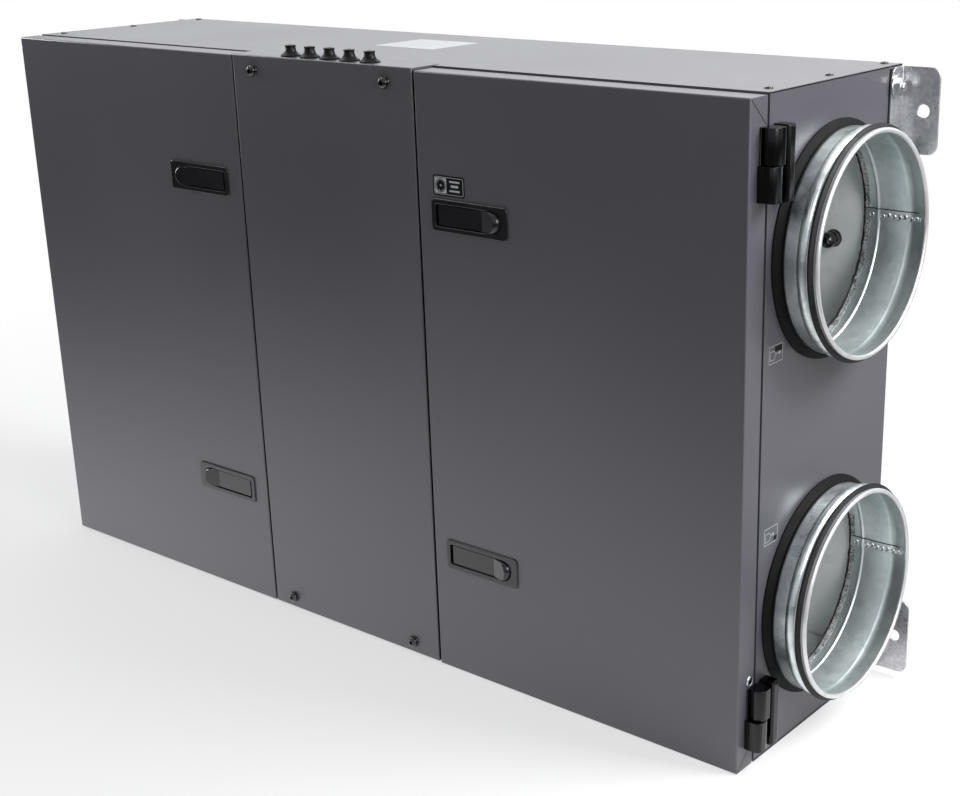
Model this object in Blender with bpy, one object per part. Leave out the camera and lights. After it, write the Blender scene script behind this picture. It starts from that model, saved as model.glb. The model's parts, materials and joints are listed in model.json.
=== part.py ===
"""Compact wall-hung air handling unit.

The casing is an insulated sheet-steel box with a closed core in the middle and a compartment
on each side. Each compartment has a hinged door with two recessed lever latches, and two round
duct spigots in its side wall. X runs to the right as one faces the doors, Y runs from the doors
to the wall, Z is up, and the origin is at the bottom centre of the whole unit.
"""

import math

import bmesh
import bpy
from mathutils import Vector

# Driving sizes, in metres
WIDTH = 0.975
HEIGHT = 0.6045
GAP = 0.0003
FINE_GAP = 0.0006

# How far a cutter runs past a face, and how far joined shapes reach into each other
CUT_PAST = 0.01
JOIN = 0.002

DOOR_THICK = 0.0255
CASE_SETBACK = 0.0289
DOOR_INSET = 0.008
EDGE_ROUND = 0.0014

SIDE_WALL = 0.024
END_WALL = 0.025
BACK_WALL = 0.012
SKIN = 0.0012
FLANGE = 0.002
SHELF_THICK = 0.020
CORE_LAP = 0.014

MIDDLE_WIDTH = 0.247
MIDDLE_SHIFT = 0.0012
MIDDLE_THICK = 0.036
SEAM = 0.0025
MIDDLE_LOW = 0.0012
MIDDLE_HIGH = HEIGHT + 0.0004
LEFT_DOOR_LOW = 0.0008
LEFT_DOOR_HIGH = HEIGHT - 0.0008
RIGHT_DOOR_LOW = 0.0003
RIGHT_DOOR_HIGH = HEIGHT - 0.0016

SPIGOT_R = 0.099
SPIGOT_WALL = 0.0014
SPIGOT_OUT = 0.0414
SPIGOT_MARGIN = 0.01365
SPIGOT_EDGE = {"lower": 0.038, "upper": 0.0405}
SPIGOT_SIDES = 32
BEAD_FROM, BEAD_TO, BEAD_FLAT, BEAD_RISE = 0.0205, 0.0295, 0.0044, 0.0021
RIDGE_DEEP, RIDGE_WIDE, RIDGE_RISE = 0.009, 0.005, 0.0016
RIM_R = 0.0022
GASKET_FROM, GASKET_WIDE, GASKET_BASE = 0.0312, 0.0052, 0.0015
LIP_RISE, LIP_FLAT, LIP_SETBACK = 0.0042, 0.002, 0.001
COLLAR_DEEP, COLLAR_RISE, COLLAR_FLAT, COLLAR_EDGE = 0.0085, 0.006, 0.0015, 0.0013

LATCH_LONG = 0.092
LATCH_TALL = 0.031
LATCH_EDGE = 0.0178
LATCH_LOW, LATCH_HIGH = 0.1292, 0.1318
LATCH_PROUD = 0.0016
LATCH_CORNER = 0.004
LATCH_RIM = 0.0049
RIM_ROUND = 0.0008
TRAY_RIM = 0.0024
TRAY_CORNER = 0.002
TRAY_DEEP = 0.0099
TRAY_FLOOR = 0.0022
POCKET_CORNER = 0.0015
LEVER_CLEAR = 0.0005
LEVER_THICK = 0.0032
LEVER_FACE = 0.0004
LEVER_SLOT = 0.0031
LEVER_PIVOT_IN = 0.0016
LEVER_PIVOT_DEEP = 0.003
LEVER_BARREL_R = 0.0022
THUMB_FROM, THUMB_TO = 0.0587, 0.0835
THUMB_PROUD = 0.006
THUMB_DEEP = 0.006
THUMB_ROUND = 0.0045
THUMB_SLACK = 0.0008

HINGE_TALL = 0.063
HINGE_LOW, HINGE_HIGH = 0.0818, 0.088
PIN_OUT = 0.0084
PIN_DEEP = 0.022
PIN_R = 0.0025
PIN_CLEAR = 0.0003
PIN_TALL = 0.027
BORE_PAST = 0.001
KNUCKLE_R = 0.0079
KNUCKLE_LOW, KNUCKLE_HIGH = 0.0025, 0.0007
KNUCKLE_PARTING = 0.0322
KNUCKLE_SPLIT = 0.0006
KNUCKLE_HEEL = 0.001
KNUCKLE_BACK = 0.0305
KNUCKLE_CORNER = 0.003
HINGE_FRONT = 0.0116
HINGE_CORNER = 0.0045
DOOR_LIP_FROM, DOOR_LIP_TO = 0.0142, 0.0172
DOOR_LIP_THICK = 0.0012
CASE_LEAF_FROM, CASE_LEAF_TO = 0.0352, 0.0464
CASE_LEAF_OUT = 0.0152
CASE_LEAF_ROUND = 0.0025
WEB_THICK = 0.0045

BRACKET_TALL = 0.0776
BRACKET_LOW, BRACKET_HIGH = 0.006, 0.0016
BRACKET_SIDE = 0.0225
BRACKET_WALL = 0.0385
BRACKET_THICK = 0.002
BRACKET_CORNER = 0.009
BRACKET_BEND = 0.0024
BRACKET_HOLE_R = 0.006
BRACKET_HOLE_OUT = 0.0238

GROMMETS = 5
GROMMET_PITCH = 0.02725
GROMMET_SHIFT = 0.0041
GROMMET_DEEP = 0.0145
GROMMET_BASE_R = 0.0106
GROMMET_BASE_TALL = 0.0013
GROMMET_NECK_R = 0.0051
GROMMET_NECK_HIGH = 0.0082
GROMMET_TOP_R = 0.006
GROMMET_TOP_TALL = 0.0026
GROMMET_TOP_EDGE = 0.0006
GROMMET_TALL = 0.0112
GROMMET_STEM_R = 0.0043
GROMMET_SIDES = 16
STRIP_THICK = 0.0025
STRIP_HALF = 0.007
STRIP_END = 0.0075
TOP_SHEET = 0.0015

# Places worked out from the driving sizes
DEPTH = CASE_SETBACK + 2 * (SPIGOT_R + SPIGOT_MARGIN)
FRONT = (THUMB_PROUD - DEPTH) / 2
BACK = FRONT + DEPTH
CASE_FRONT = FRONT + CASE_SETBACK
DOOR_BACK = FRONT + DOOR_THICK
HALF = WIDTH / 2
INNER = HALF - SIDE_WALL
BACK_INNER = BACK - BACK_WALL
SPIGOT_Y = (CASE_FRONT + BACK) / 2
MIDDLE_LEFT = MIDDLE_SHIFT - MIDDLE_WIDTH / 2
MIDDLE_RIGHT = MIDDLE_SHIFT + MIDDLE_WIDTH / 2
CORE_HALF = MIDDLE_WIDTH / 2 + CORE_LAP
LATCH_INNER = MIDDLE_WIDTH / 2 + SEAM + LATCH_EDGE
PIN_Y = FRONT + PIN_DEEP
SPIGOT_Z = {
    "lower": SPIGOT_EDGE["lower"] + SPIGOT_R,
    "upper": HEIGHT - SPIGOT_EDGE["upper"] - SPIGOT_R,
}
LATCH_Z = {"lower": LATCH_LOW, "upper": HEIGHT - LATCH_HIGH}
HINGE_Z = {"lower": HINGE_LOW - HINGE_TALL, "upper": HEIGHT - HINGE_HIGH}
BRACKET_Z = {"lower": BRACKET_LOW, "upper": HEIGHT - BRACKET_HIGH - BRACKET_TALL}
SIDES = {"left": -1, "right": 1}


def clear_scene():
    """Removes what the startup file holds."""
    for item in list(bpy.data.objects):
        bpy.data.objects.remove(item, do_unlink=True)


def material(name, colour, roughness, metallic=0.0):
    """A Principled material with one plain colour."""
    made = bpy.data.materials.new(name)
    made.use_nodes = True
    shader = made.node_tree.nodes["Principled BSDF"]
    shader.inputs["Base Color"].default_value = (*colour, 1.0)
    shader.inputs["Roughness"].default_value = roughness
    shader.inputs["Metallic"].default_value = metallic
    made.diffuse_color = (*colour, 1.0)
    return made


def place_of(pivot):
    """Where an empty stands in the unit's own frame."""
    return pivot.location + (place_of(pivot.parent) if pivot.parent else Vector())


def link(name, bm, finish, pivot=None, smooth_deg=None):
    """Turns a bmesh into an object, on its pivot's axis if it has one."""
    bmesh.ops.recalc_face_normals(bm, faces=bm.faces)
    if pivot:
        bmesh.ops.translate(bm, verts=bm.verts, vec=-place_of(pivot))
    mesh = bpy.data.meshes.new(name)
    bm.to_mesh(mesh)
    bm.free()
    if smooth_deg:
        mesh.shade_smooth()
        mesh.set_sharp_from_angle(angle=math.radians(smooth_deg))
    made = bpy.data.objects.new(name, mesh)
    made.data.materials.append(finish)
    made.parent = pivot
    bpy.context.scene.collection.objects.link(made)
    return made


def helper(name, bm, finish, pivot=None):
    """A hidden object that only cuts or joins."""
    made = link(name, bm, finish, pivot)
    made.hide_render = True
    made.display_type = "WIRE"
    return made


def boolean(target, other, operation="DIFFERENCE"):
    """Cuts or joins with an exact Boolean that stays on the object."""
    step = target.modifiers.new(other.name, "BOOLEAN")
    step.operation = operation
    step.solver = "EXACT"
    step.object = other


def pivot_at(name, place):
    """An empty on a joint's axis."""
    made = bpy.data.objects.new(name, None)
    made.location = place
    made.empty_display_size = 0.03
    bpy.context.scene.collection.objects.link(made)
    return made


def box(bm, low, high):
    """Adds a box between two corners and returns its faces by direction, such as -Y."""
    low, high = Vector(low), Vector(high)
    verts = bmesh.ops.create_cube(bm, size=1.0)["verts"]
    for vert in verts:
        vert.co = Vector([low[i] if vert.co[i] < 0 else high[i] for i in range(3)])
    faces = {face for vert in verts for face in vert.link_faces}
    bmesh.ops.recalc_face_normals(bm, faces=list(faces))
    named = {}
    for face in faces:
        axis = max(range(3), key=lambda i: abs(face.normal[i]))
        named["-+"[face.normal[axis] > 0] + "XYZ"[axis]] = face
    return named


def prism(bm, outline, axis, low, high):
    """Extrudes a closed outline along an axis. The outline gives the other two axes in order."""
    others = [i for i in range(3) if i != axis]
    ring = []
    for first, second in outline:
        place = [0.0, 0.0, 0.0]
        place[others[0]], place[others[1]], place[axis] = first, second, low
        ring.append(bm.verts.new(place))
    base = bm.faces.new(ring)
    top = bmesh.ops.extrude_face_region(bm, geom=[base])["geom"]
    shift = Vector([high - low if i == axis else 0.0 for i in range(3)])
    moved = [item for item in top if isinstance(item, bmesh.types.BMVert)]
    bmesh.ops.translate(bm, verts=moved, vec=shift)
    return base, [item for item in top if isinstance(item, bmesh.types.BMFace)][0]


def loft(bm, rings):
    """Joins closed rings of points into one body, capped at both ends."""
    rows = [[bm.verts.new(point) for point in ring] for ring in rings]
    for first, second in zip(rows, rows[1:]):
        for i in range(len(first)):
            bm.faces.new((first[i - 1], first[i], second[i], second[i - 1]))
    bm.faces.new(rows[0])
    bm.faces.new(rows[-1])


def arc(centre, radius, start_deg, end_deg, steps):
    """Points along a circular arc, both ends included."""
    return [
        (
            centre[0] + radius * math.cos(math.radians(start_deg + (end_deg - start_deg) * i / steps)),
            centre[1] + radius * math.sin(math.radians(start_deg + (end_deg - start_deg) * i / steps)),
        )
        for i in range(steps + 1)
    ]


def rounded_rectangle(centre, size, corner, steps=4):
    """The outline of a rectangle with round corners."""
    points = []
    for turn, (sx, sz) in enumerate(((1, 1), (-1, 1), (-1, -1), (1, -1))):
        middle = (
            centre[0] + sx * (size[0] / 2 - corner),
            centre[1] + sz * (size[1] / 2 - corner),
        )
        points += arc(middle, corner, 90 * turn, 90 * turn + 90, steps)
    return points


def turned(bm, profile, axis, centre, steps, closed=True):
    """Spins a profile of (along, radius) points round an axis through the centre."""
    ring = []
    for along, radius in profile:
        place = Vector(centre)
        place[axis] = along
        place[(axis + 1) % 3] += radius
        ring.append(bm.verts.new(place))
    edges = [bm.edges.new((ring[i - 1], ring[i])) for i in range(0 if closed else 1, len(ring))]
    bmesh.ops.spin(
        bm,
        geom=ring + edges,
        cent=Vector(centre),
        axis=Vector([1.0 if i == axis else 0.0 for i in range(3)]),
        angle=2 * math.pi,
        steps=steps,
        use_merge=True,
    )
    bmesh.ops.remove_doubles(bm, verts=bm.verts, dist=1e-6)


def cylinder(bm, axis, centre, radius, low, high, steps):
    """A round bar along an axis, where centre gives the other two coordinates."""
    prism(bm, arc(centre, radius, 0, 360, steps)[:-1], axis, low, high)


def push(bm, face, vec):
    """Moves one face of a closed body along, with walls behind it."""
    made = bmesh.ops.extrude_face_region(bm, geom=[face])["geom"]
    bmesh.ops.translate(bm, verts=[v for v in made if isinstance(v, bmesh.types.BMVert)], vec=Vector(vec))
    bmesh.ops.delete(bm, geom=[face], context="FACES_ONLY")


def round_edges(bm, test, radius, segments):
    """Rounds every edge whose two ends both pass the test."""
    chosen = [edge for edge in bm.edges if all(test(vert.co) for vert in edge.verts)]
    bmesh.ops.bevel(
        bm,
        geom=chosen,
        offset=radius,
        segments=segments,
        profile=0.5,
        affect="EDGES",
        clamp_overlap=True,
    )


def near(value, target):
    """Whether two coordinates are the same place."""
    return abs(value - target) < 1e-5


def add_side_panel(name, side, finish):
    """One insulated side wall, rebated at both ends, with a hole for each spigot."""
    rebate = FLANGE + GAP
    outline = [
        (HALF, 0),
        (HALF, HEIGHT),
        (HALF - SKIN, HEIGHT),
        (HALF - SKIN, HEIGHT - rebate),
        (INNER, HEIGHT - rebate),
        (INNER, rebate),
        (HALF - SKIN, rebate),
        (HALF - SKIN, 0),
    ]
    bm = bmesh.new()
    prism(bm, [(side * x, z) for x, z in outline], 1, CASE_FRONT, BACK)
    panel = link(name, bm, finish)
    for level, height in SPIGOT_Z.items():
        bm = bmesh.new()
        ends = sorted((side * (INNER - CUT_PAST), side * (HALF + CUT_PAST)))
        cylinder(bm, 0, (SPIGOT_Y, height), SPIGOT_R + GAP, *ends, SPIGOT_SIDES)
        boolean(panel, helper(f"{name}_{level}_hole", bm, finish))


def add_end_panel(name, up, finish):
    """The top or the bottom panel: a thin sheet over the side walls on an insulated core."""
    edge = HALF - SKIN - FINE_GAP
    core = INNER - GAP
    outline = [
        (-edge, 0),
        (edge, 0),
        (edge, -FLANGE),
        (core, -FLANGE),
        (core, -END_WALL),
        (-core, -END_WALL),
        (-core, -FLANGE),
        (-edge, -FLANGE),
    ]
    face = HEIGHT if up else 0
    turn = 1 if up else -1
    bm = bmesh.new()
    prism(bm, [(x, face + turn * z) for x, z in outline], 1, CASE_FRONT, BACK)
    panel = link(name, bm, finish)
    bm = bmesh.new()
    box(
        bm,
        (MIDDLE_LEFT - FINE_GAP, CASE_FRONT - CUT_PAST, face - END_WALL - CUT_PAST),
        (MIDDLE_RIGHT + FINE_GAP, FRONT + MIDDLE_THICK + FINE_GAP, face + END_WALL + CUT_PAST),
    )
    boolean(panel, helper(f"{name}_notch", bm, finish))


def add_core(finish, inner_finish):
    """The closed block behind the middle panel, the back wall and the shelf on each side."""
    low, high = END_WALL + GAP, HEIGHT - END_WALL - GAP
    step = FRONT + MIDDLE_THICK + FINE_GAP
    outline = [
        (-CORE_HALF, CASE_FRONT),
        (MIDDLE_LEFT - FINE_GAP, CASE_FRONT),
        (MIDDLE_LEFT - FINE_GAP, step),
        (MIDDLE_RIGHT + FINE_GAP, step),
        (MIDDLE_RIGHT + FINE_GAP, CASE_FRONT),
        (CORE_HALF, CASE_FRONT),
        (CORE_HALF, BACK_INNER - GAP),
        (-CORE_HALF, BACK_INNER - GAP),
    ]
    bm = bmesh.new()
    prism(bm, outline, 2, low, high)
    link("core_housing", bm, inner_finish)

    bm = bmesh.new()
    box(bm, (-INNER + GAP, BACK_INNER, low), (INNER - GAP, BACK, high))
    link("back_panel", bm, finish)

    middle = HEIGHT / 2
    for word, side in SIDES.items():
        ends = sorted((side * (CORE_HALF + GAP), side * (INNER - GAP)))
        bm = bmesh.new()
        box(
            bm,
            (ends[0], CASE_FRONT + FINE_GAP, middle - SHELF_THICK / 2),
            (ends[1], BACK_INNER - GAP, middle + SHELF_THICK / 2),
        )
        link(f"{word}_shelf", bm, inner_finish)


def add_spigot(name, side, height, steel, rubber, foam):
    """A round duct spigot with its rubber gasket and the foam collar against the casing."""
    centre = (0.0, SPIGOT_Y, height)
    bead = HALF + (BEAD_FROM + BEAD_TO) / 2
    ridge = HALF - RIDGE_DEEP
    bore_r = SPIGOT_R - SPIGOT_WALL
    rim = (HALF + SPIGOT_OUT - RIM_R, bore_r)
    pressed = [
        (HALF + BEAD_FROM, 0.0),
        (bead - BEAD_FLAT / 2, BEAD_RISE),
        (bead + BEAD_FLAT / 2, BEAD_RISE),
        (HALF + BEAD_TO, 0.0),
    ]
    tube = [
        (INNER + FINE_GAP, SPIGOT_R),
        *[(x, SPIGOT_R + rise) for x, rise in pressed],
        *arc(rim, RIM_R, 135, -135, 4),
        *[(x, bore_r + rise) for x, rise in reversed(pressed)],
        (ridge + RIDGE_WIDE / 2, bore_r),
        (ridge, bore_r - RIDGE_RISE),
        (ridge - RIDGE_WIDE / 2, bore_r),
        (INNER + FINE_GAP, bore_r),
    ]
    seat = SPIGOT_R + GAP
    low, high = HALF + GASKET_FROM, HALF + GASKET_FROM + GASKET_WIDE
    gasket = [
        (low, seat),
        (high, seat),
        (high, seat + GASKET_BASE),
        (high - LIP_SETBACK, SPIGOT_R + LIP_RISE),
        (high - LIP_SETBACK - LIP_FLAT, SPIGOT_R + LIP_RISE),
        (low, seat + GASKET_BASE),
    ]
    collar = [
        (HALF + GAP, seat),
        (HALF + GAP, SPIGOT_R + COLLAR_RISE),
        (HALF + GAP + COLLAR_FLAT, SPIGOT_R + COLLAR_RISE),
        (HALF + GAP + COLLAR_DEEP, SPIGOT_R + COLLAR_EDGE),
        (HALF + GAP + COLLAR_DEEP, seat),
    ]
    for part, profile, finish in (
        (name, tube, steel),
        (f"{name}_gasket", gasket, rubber),
        (f"{name}_collar", collar, foam),
    ):
        bm = bmesh.new()
        turned(bm, [(side * x, radius) for x, radius in profile], 0, centre, SPIGOT_SIDES)
        link(part, bm, finish, smooth_deg=35)


def add_bracket(name, side, low, finish):
    """A bent wall bracket with round corners and a hole in the flange that meets the wall."""
    near_x, far_x = HALF + GAP, HALF + BRACKET_WALL
    front = BACK - BRACKET_SIDE
    outline = [
        (near_x, front),
        (near_x + BRACKET_THICK, front),
        (near_x + BRACKET_THICK, BACK - BRACKET_THICK),
        (far_x, BACK - BRACKET_THICK),
        (far_x, BACK),
        (near_x, BACK),
    ]
    bm = bmesh.new()
    prism(bm, [(side * x, y) for x, y in outline], 2, low, low + BRACKET_TALL)
    ends = (low, low + BRACKET_TALL)
    for end in ends:
        round_edges(bm, lambda co: near(co.y, front) and near(co.z, end), BRACKET_CORNER, 5)
        round_edges(bm, lambda co: near(co.x, side * far_x) and near(co.z, end), BRACKET_CORNER, 5)
    round_edges(bm, lambda co: near(co.x, side * near_x) and near(co.y, BACK), BRACKET_BEND, 3)
    bracket = link(name, bm, finish)
    bm = bmesh.new()
    place = (side * (HALF + BRACKET_HOLE_OUT), low + BRACKET_TALL / 2)
    cylinder(bm, 1, place, BRACKET_HOLE_R, BACK - CUT_PAST, BACK + CUT_PAST, 20)
    boolean(bracket, helper(f"{name}_hole", bm, finish))


def add_hinge(name, side, low, door_pivot, plastic):
    """A two-part block hinge: the casing's leaf holds the pin, the door's block turns on it."""
    high = low + HINGE_TALL
    split = low + KNUCKLE_PARTING
    foot, head = low + KNUCKLE_LOW, high - KNUCKLE_HIGH
    pin = (HALF + PIN_OUT, PIN_Y)
    place = (side * pin[0], PIN_Y)
    near_x = HALF + GAP
    knuckle_x = pin[0] + KNUCKLE_R

    bm = bmesh.new()
    out = HALF + CASE_LEAF_OUT
    front, back = FRONT + CASE_LEAF_FROM, FRONT + CASE_LEAF_TO
    outline = [(near_x, front), (out, front), (out, back), (near_x, back)]
    prism(bm, [(side * x, y) for x, y in outline], 2, low, high)
    round_edges(bm, lambda co: near(co.x, side * out), CASE_LEAF_ROUND, 3)
    casing_leaf = link(f"{name}_casing_leaf", bm, plastic, smooth_deg=35)
    upper = split + KNUCKLE_SPLIT / 2
    rear = FRONT + KNUCKLE_BACK
    outline = [
        *arc(pin, KNUCKLE_R, -180, 0, 14),
        *arc((knuckle_x - KNUCKLE_CORNER, rear - KNUCKLE_CORNER), KNUCKLE_CORNER, 0, 90, 4),
        (pin[0] - KNUCKLE_R, rear),
    ]
    bm = bmesh.new()
    prism(bm, [(side * x, y) for x, y in outline], 2, upper, head)
    boolean(casing_leaf, helper(f"{name}_knuckle", bm, plastic), "UNION")
    bm = bmesh.new()
    ends = sorted((side * (near_x + FINE_GAP), side * (near_x + WEB_THICK)))
    box(bm, (ends[0], PIN_Y, upper + FINE_GAP), (ends[1], front + JOIN, head - FINE_GAP))
    boolean(casing_leaf, helper(f"{name}_web", bm, plastic), "UNION")
    bm = bmesh.new()
    cylinder(bm, 2, place, PIN_R, upper - PIN_TALL, upper + JOIN, 12)
    boolean(casing_leaf, helper(f"{name}_pin", bm, plastic), "UNION")

    lower = split - KNUCKLE_SPLIT / 2
    corner = (knuckle_x - HINGE_CORNER, FRONT + HINGE_FRONT + HINGE_CORNER)
    outline = [
        (near_x, FRONT + HINGE_FRONT),
        *arc(corner, HINGE_CORNER, -90, 0, 5),
        *arc(pin, KNUCKLE_R, 0, 180, 12),
        (near_x, PIN_Y - KNUCKLE_HEEL),
    ]
    bm = bmesh.new()
    prism(bm, [(side * x, y) for x, y in outline], 2, foot, lower)
    door_leaf = link(f"{name}_door_leaf", bm, plastic, door_pivot, 35)
    bm = bmesh.new()
    ends = sorted((side * near_x, side * (near_x + DOOR_LIP_THICK)))
    box(
        bm,
        (ends[0], FRONT + DOOR_LIP_FROM, lower - JOIN),
        (ends[1], FRONT + DOOR_LIP_TO, head),
    )
    boolean(door_leaf, helper(f"{name}_door_lip", bm, plastic, door_pivot), "UNION")
    bm = bmesh.new()
    cylinder(bm, 2, place, PIN_R + PIN_CLEAR, upper - PIN_TALL - BORE_PAST, lower + CUT_PAST, 12)
    boolean(door_leaf, helper(f"{name}_bore", bm, plastic, door_pivot))


def latch_size(inset):
    """The latch's length and height, less the same inset on every side."""
    return LATCH_LONG - 2 * inset, LATCH_TALL - 2 * inset


def thumb_rings(outline, side):
    """The outline at the thumb's back, and then up over its rounded edge to the sloping front."""
    start, end = outline[0][0], max(x for x, _ in outline)
    middle = (outline[0][1] + outline[-1][1]) / 2
    back = FRONT + THUMB_DEEP
    rings = [[(side * x, back, z) for x, z in outline]]
    for turn in (0, 30, 60, 90):
        inset = 1 - math.cos(math.radians(turn))
        drop = THUMB_ROUND * (1 - math.sin(math.radians(turn))) / (THUMB_DEEP + THUMB_PROUD)
        shorter = 1 - THUMB_ROUND * inset / (end - start)
        lower = 1 - THUMB_SLACK * inset / (LATCH_TALL / 2)
        ring = []
        for x, z in outline:
            proud = LEVER_FACE - (LEVER_FACE + THUMB_PROUD) * (x - start) / (end - start)
            depth = back + (FRONT + proud - back) * (1 - drop)
            ring.append((side * (start + (x - start) * shorter), depth, middle + (z - middle) * lower))
        rings.append(ring)
    return rings


def add_latch(name, side, height, door_pivot, plastic):
    """A recessed tray in the door, and the lever in it that swings about the tray's inner end."""
    centre = (side * (LATCH_INNER + LATCH_LONG / 2), height)
    face = FRONT - LATCH_PROUD
    floor = FRONT + TRAY_DEEP
    bm = bmesh.new()
    prism(bm, rounded_rectangle(centre, latch_size(0), LATCH_CORNER), 1, face, FRONT - GAP)
    round_edges(bm, lambda co: near(co.y, face), RIM_ROUND, 2)
    tray = link(f"{name}_tray", bm, plastic, door_pivot)
    bm = bmesh.new()
    outline = rounded_rectangle(centre, latch_size(TRAY_RIM), TRAY_CORNER)
    prism(bm, outline, 1, FRONT - 2 * GAP, floor + TRAY_FLOOR)
    boolean(tray, helper(f"{name}_tray_box", bm, plastic, door_pivot), "UNION")
    half_tall = LATCH_TALL / 2 - LATCH_RIM - LEVER_CLEAR
    thumb_from = LATCH_INNER + THUMB_FROM
    thumb_to = LATCH_INNER + THUMB_TO
    nose = (thumb_to - half_tall, height)
    near_end = LATCH_INNER + LATCH_RIM
    hollow_r = half_tall + LEVER_CLEAR
    outline = [
        (near_end, height - hollow_r + POCKET_CORNER),
        (near_end + POCKET_CORNER, height - hollow_r),
        *arc(nose, hollow_r, -90, 90, 12),
        (near_end + POCKET_CORNER, height + hollow_r),
        (near_end, height + hollow_r - POCKET_CORNER),
    ]
    bm = bmesh.new()
    prism(bm, [(side * x, z) for x, z in outline], 1, face - CUT_PAST, floor)
    boolean(tray, helper(f"{name}_tray_hollow", bm, plastic, door_pivot))

    start = near_end + LEVER_SLOT
    place = (side * (start + LEVER_PIVOT_IN), FRONT + LEVER_PIVOT_DEEP, height)
    pivot = pivot_at(f"{name}_pivot", Vector(place) - door_pivot.location)
    pivot.parent = door_pivot
    outline = [
        (thumb_from, height - half_tall),
        *arc(nose, half_tall, -90, 90, 10),
        (thumb_from, height + half_tall),
    ]
    bm = bmesh.new()
    loft(bm, thumb_rings(outline, side))
    lever = link(f"{name}_lever", bm, plastic, pivot, 35)
    bm = bmesh.new()
    ends = sorted((side * start, side * (thumb_from + JOIN)))
    face = FRONT - LEVER_FACE
    tall = half_tall - FINE_GAP
    box(bm, (ends[0], face, height - tall), (ends[1], face + LEVER_THICK, height + tall))
    boolean(lever, helper(f"{name}_plate", bm, plastic, pivot), "UNION")
    bm = bmesh.new()
    cylinder(bm, 2, place[:2], LEVER_BARREL_R, height - half_tall, height + half_tall, 12)
    boolean(lever, helper(f"{name}_barrel", bm, plastic, pivot), "UNION")


def add_door(word, side, low, high, paint, plastic):
    """A door with its inner pan, both latches and both hinges."""
    pivot = pivot_at(f"{word}_door_pivot", (side * (HALF + PIN_OUT), PIN_Y, 0))
    free = MIDDLE_RIGHT + SEAM if side > 0 else SEAM - MIDDLE_LEFT
    ends = sorted((side * free, side * HALF))
    bm = bmesh.new()
    faces = box(bm, (ends[0], FRONT, low), (ends[1], DOOR_BACK, high))
    bmesh.ops.inset_region(bm, faces=[faces["+Y"]], thickness=DOOR_INSET)
    push(bm, faces["+Y"], (0, CASE_SETBACK - DOOR_THICK - GAP, 0))
    round_edges(bm, lambda co: near(co.y, FRONT), EDGE_ROUND, 2)
    door = link(f"{word}_door", bm, paint, pivot)
    for level, height in LATCH_Z.items():
        name = f"{word}_{level}_latch"
        long, tall = latch_size(TRAY_RIM - GAP)
        middle = side * (LATCH_INNER + LATCH_LONG / 2)
        bm = bmesh.new()
        box(
            bm,
            (middle - long / 2, FRONT - CUT_PAST, height - tall / 2),
            (middle + long / 2, FRONT + TRAY_DEEP + TRAY_FLOOR + GAP, height + tall / 2),
        )
        boolean(door, helper(f"{name}_pocket", bm, paint, pivot))
        add_latch(name, side, height, pivot, plastic)
    for level, low_z in HINGE_Z.items():
        add_hinge(f"{word}_{level}_hinge", side, low_z, pivot, plastic)


def add_middle_panel(paint, rubber):
    """The fixed middle panel, and the cable grommets that stand on its top edge."""
    bm = bmesh.new()
    back = FRONT + MIDDLE_THICK
    box(bm, (MIDDLE_LEFT, FRONT, MIDDLE_LOW), (MIDDLE_RIGHT, back, MIDDLE_HIGH))
    round_edges(bm, lambda co: near(co.y, FRONT), EDGE_ROUND, 2)
    panel = link("middle_panel", bm, paint)

    row_y = FRONT + GROMMET_DEEP
    places = [
        GROMMET_SHIFT + GROMMET_PITCH * (i - (GROMMETS - 1) / 2)
        for i in range(GROMMETS)
    ]
    strip_top = MIDDLE_HIGH - TOP_SHEET - GAP
    bm = bmesh.new()
    box(
        bm,
        (places[0] - STRIP_END, row_y - STRIP_HALF, strip_top - STRIP_THICK),
        (places[-1] + STRIP_END, row_y + STRIP_HALF, strip_top),
    )
    strip = link("cable_grommets", bm, rubber, smooth_deg=35)
    bm = bmesh.new()
    box(
        bm,
        (places[0] - STRIP_END - GAP, row_y - STRIP_HALF - GAP, strip_top - STRIP_THICK - GAP),
        (places[-1] + STRIP_END + GAP, back + CUT_PAST, strip_top + GAP),
    )
    boolean(panel, helper("middle_panel_strip_slot", bm, paint))

    base = MIDDLE_HIGH + GAP
    top = base + GROMMET_TALL
    root = strip_top - STRIP_THICK / 2
    centre = (GROMMET_BASE_R, base + GROMMET_NECK_HIGH)
    flare = arc(centre, GROMMET_BASE_R - GROMMET_NECK_R, 255, 180, 5)
    profile = [
        (root, 0.0),
        (root, GROMMET_STEM_R),
        (base, GROMMET_STEM_R),
        (base, GROMMET_BASE_R),
        (base + GROMMET_BASE_TALL, GROMMET_BASE_R),
        *[(z, radius) for radius, z in flare if z > base + GROMMET_BASE_TALL],
        (top - GROMMET_TOP_TALL, GROMMET_TOP_R),
        (top - GROMMET_TOP_EDGE, GROMMET_TOP_R),
        (top, GROMMET_TOP_R - GROMMET_TOP_EDGE),
        (top, 0.0),
    ]
    for i, x in enumerate(places):
        bm = bmesh.new()
        turned(bm, profile, 2, (x, row_y, 0.0), GROMMET_SIDES, closed=False)
        boolean(strip, helper(f"grommet_{i + 1}", bm, rubber), "UNION")
        bm = bmesh.new()
        hole_r = GROMMET_STEM_R + GAP
        cylinder(bm, 2, (x, row_y), hole_r, root, MIDDLE_HIGH + CUT_PAST, GROMMET_SIDES)
        boolean(panel, helper(f"grommet_{i + 1}_hole", bm, paint))


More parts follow.
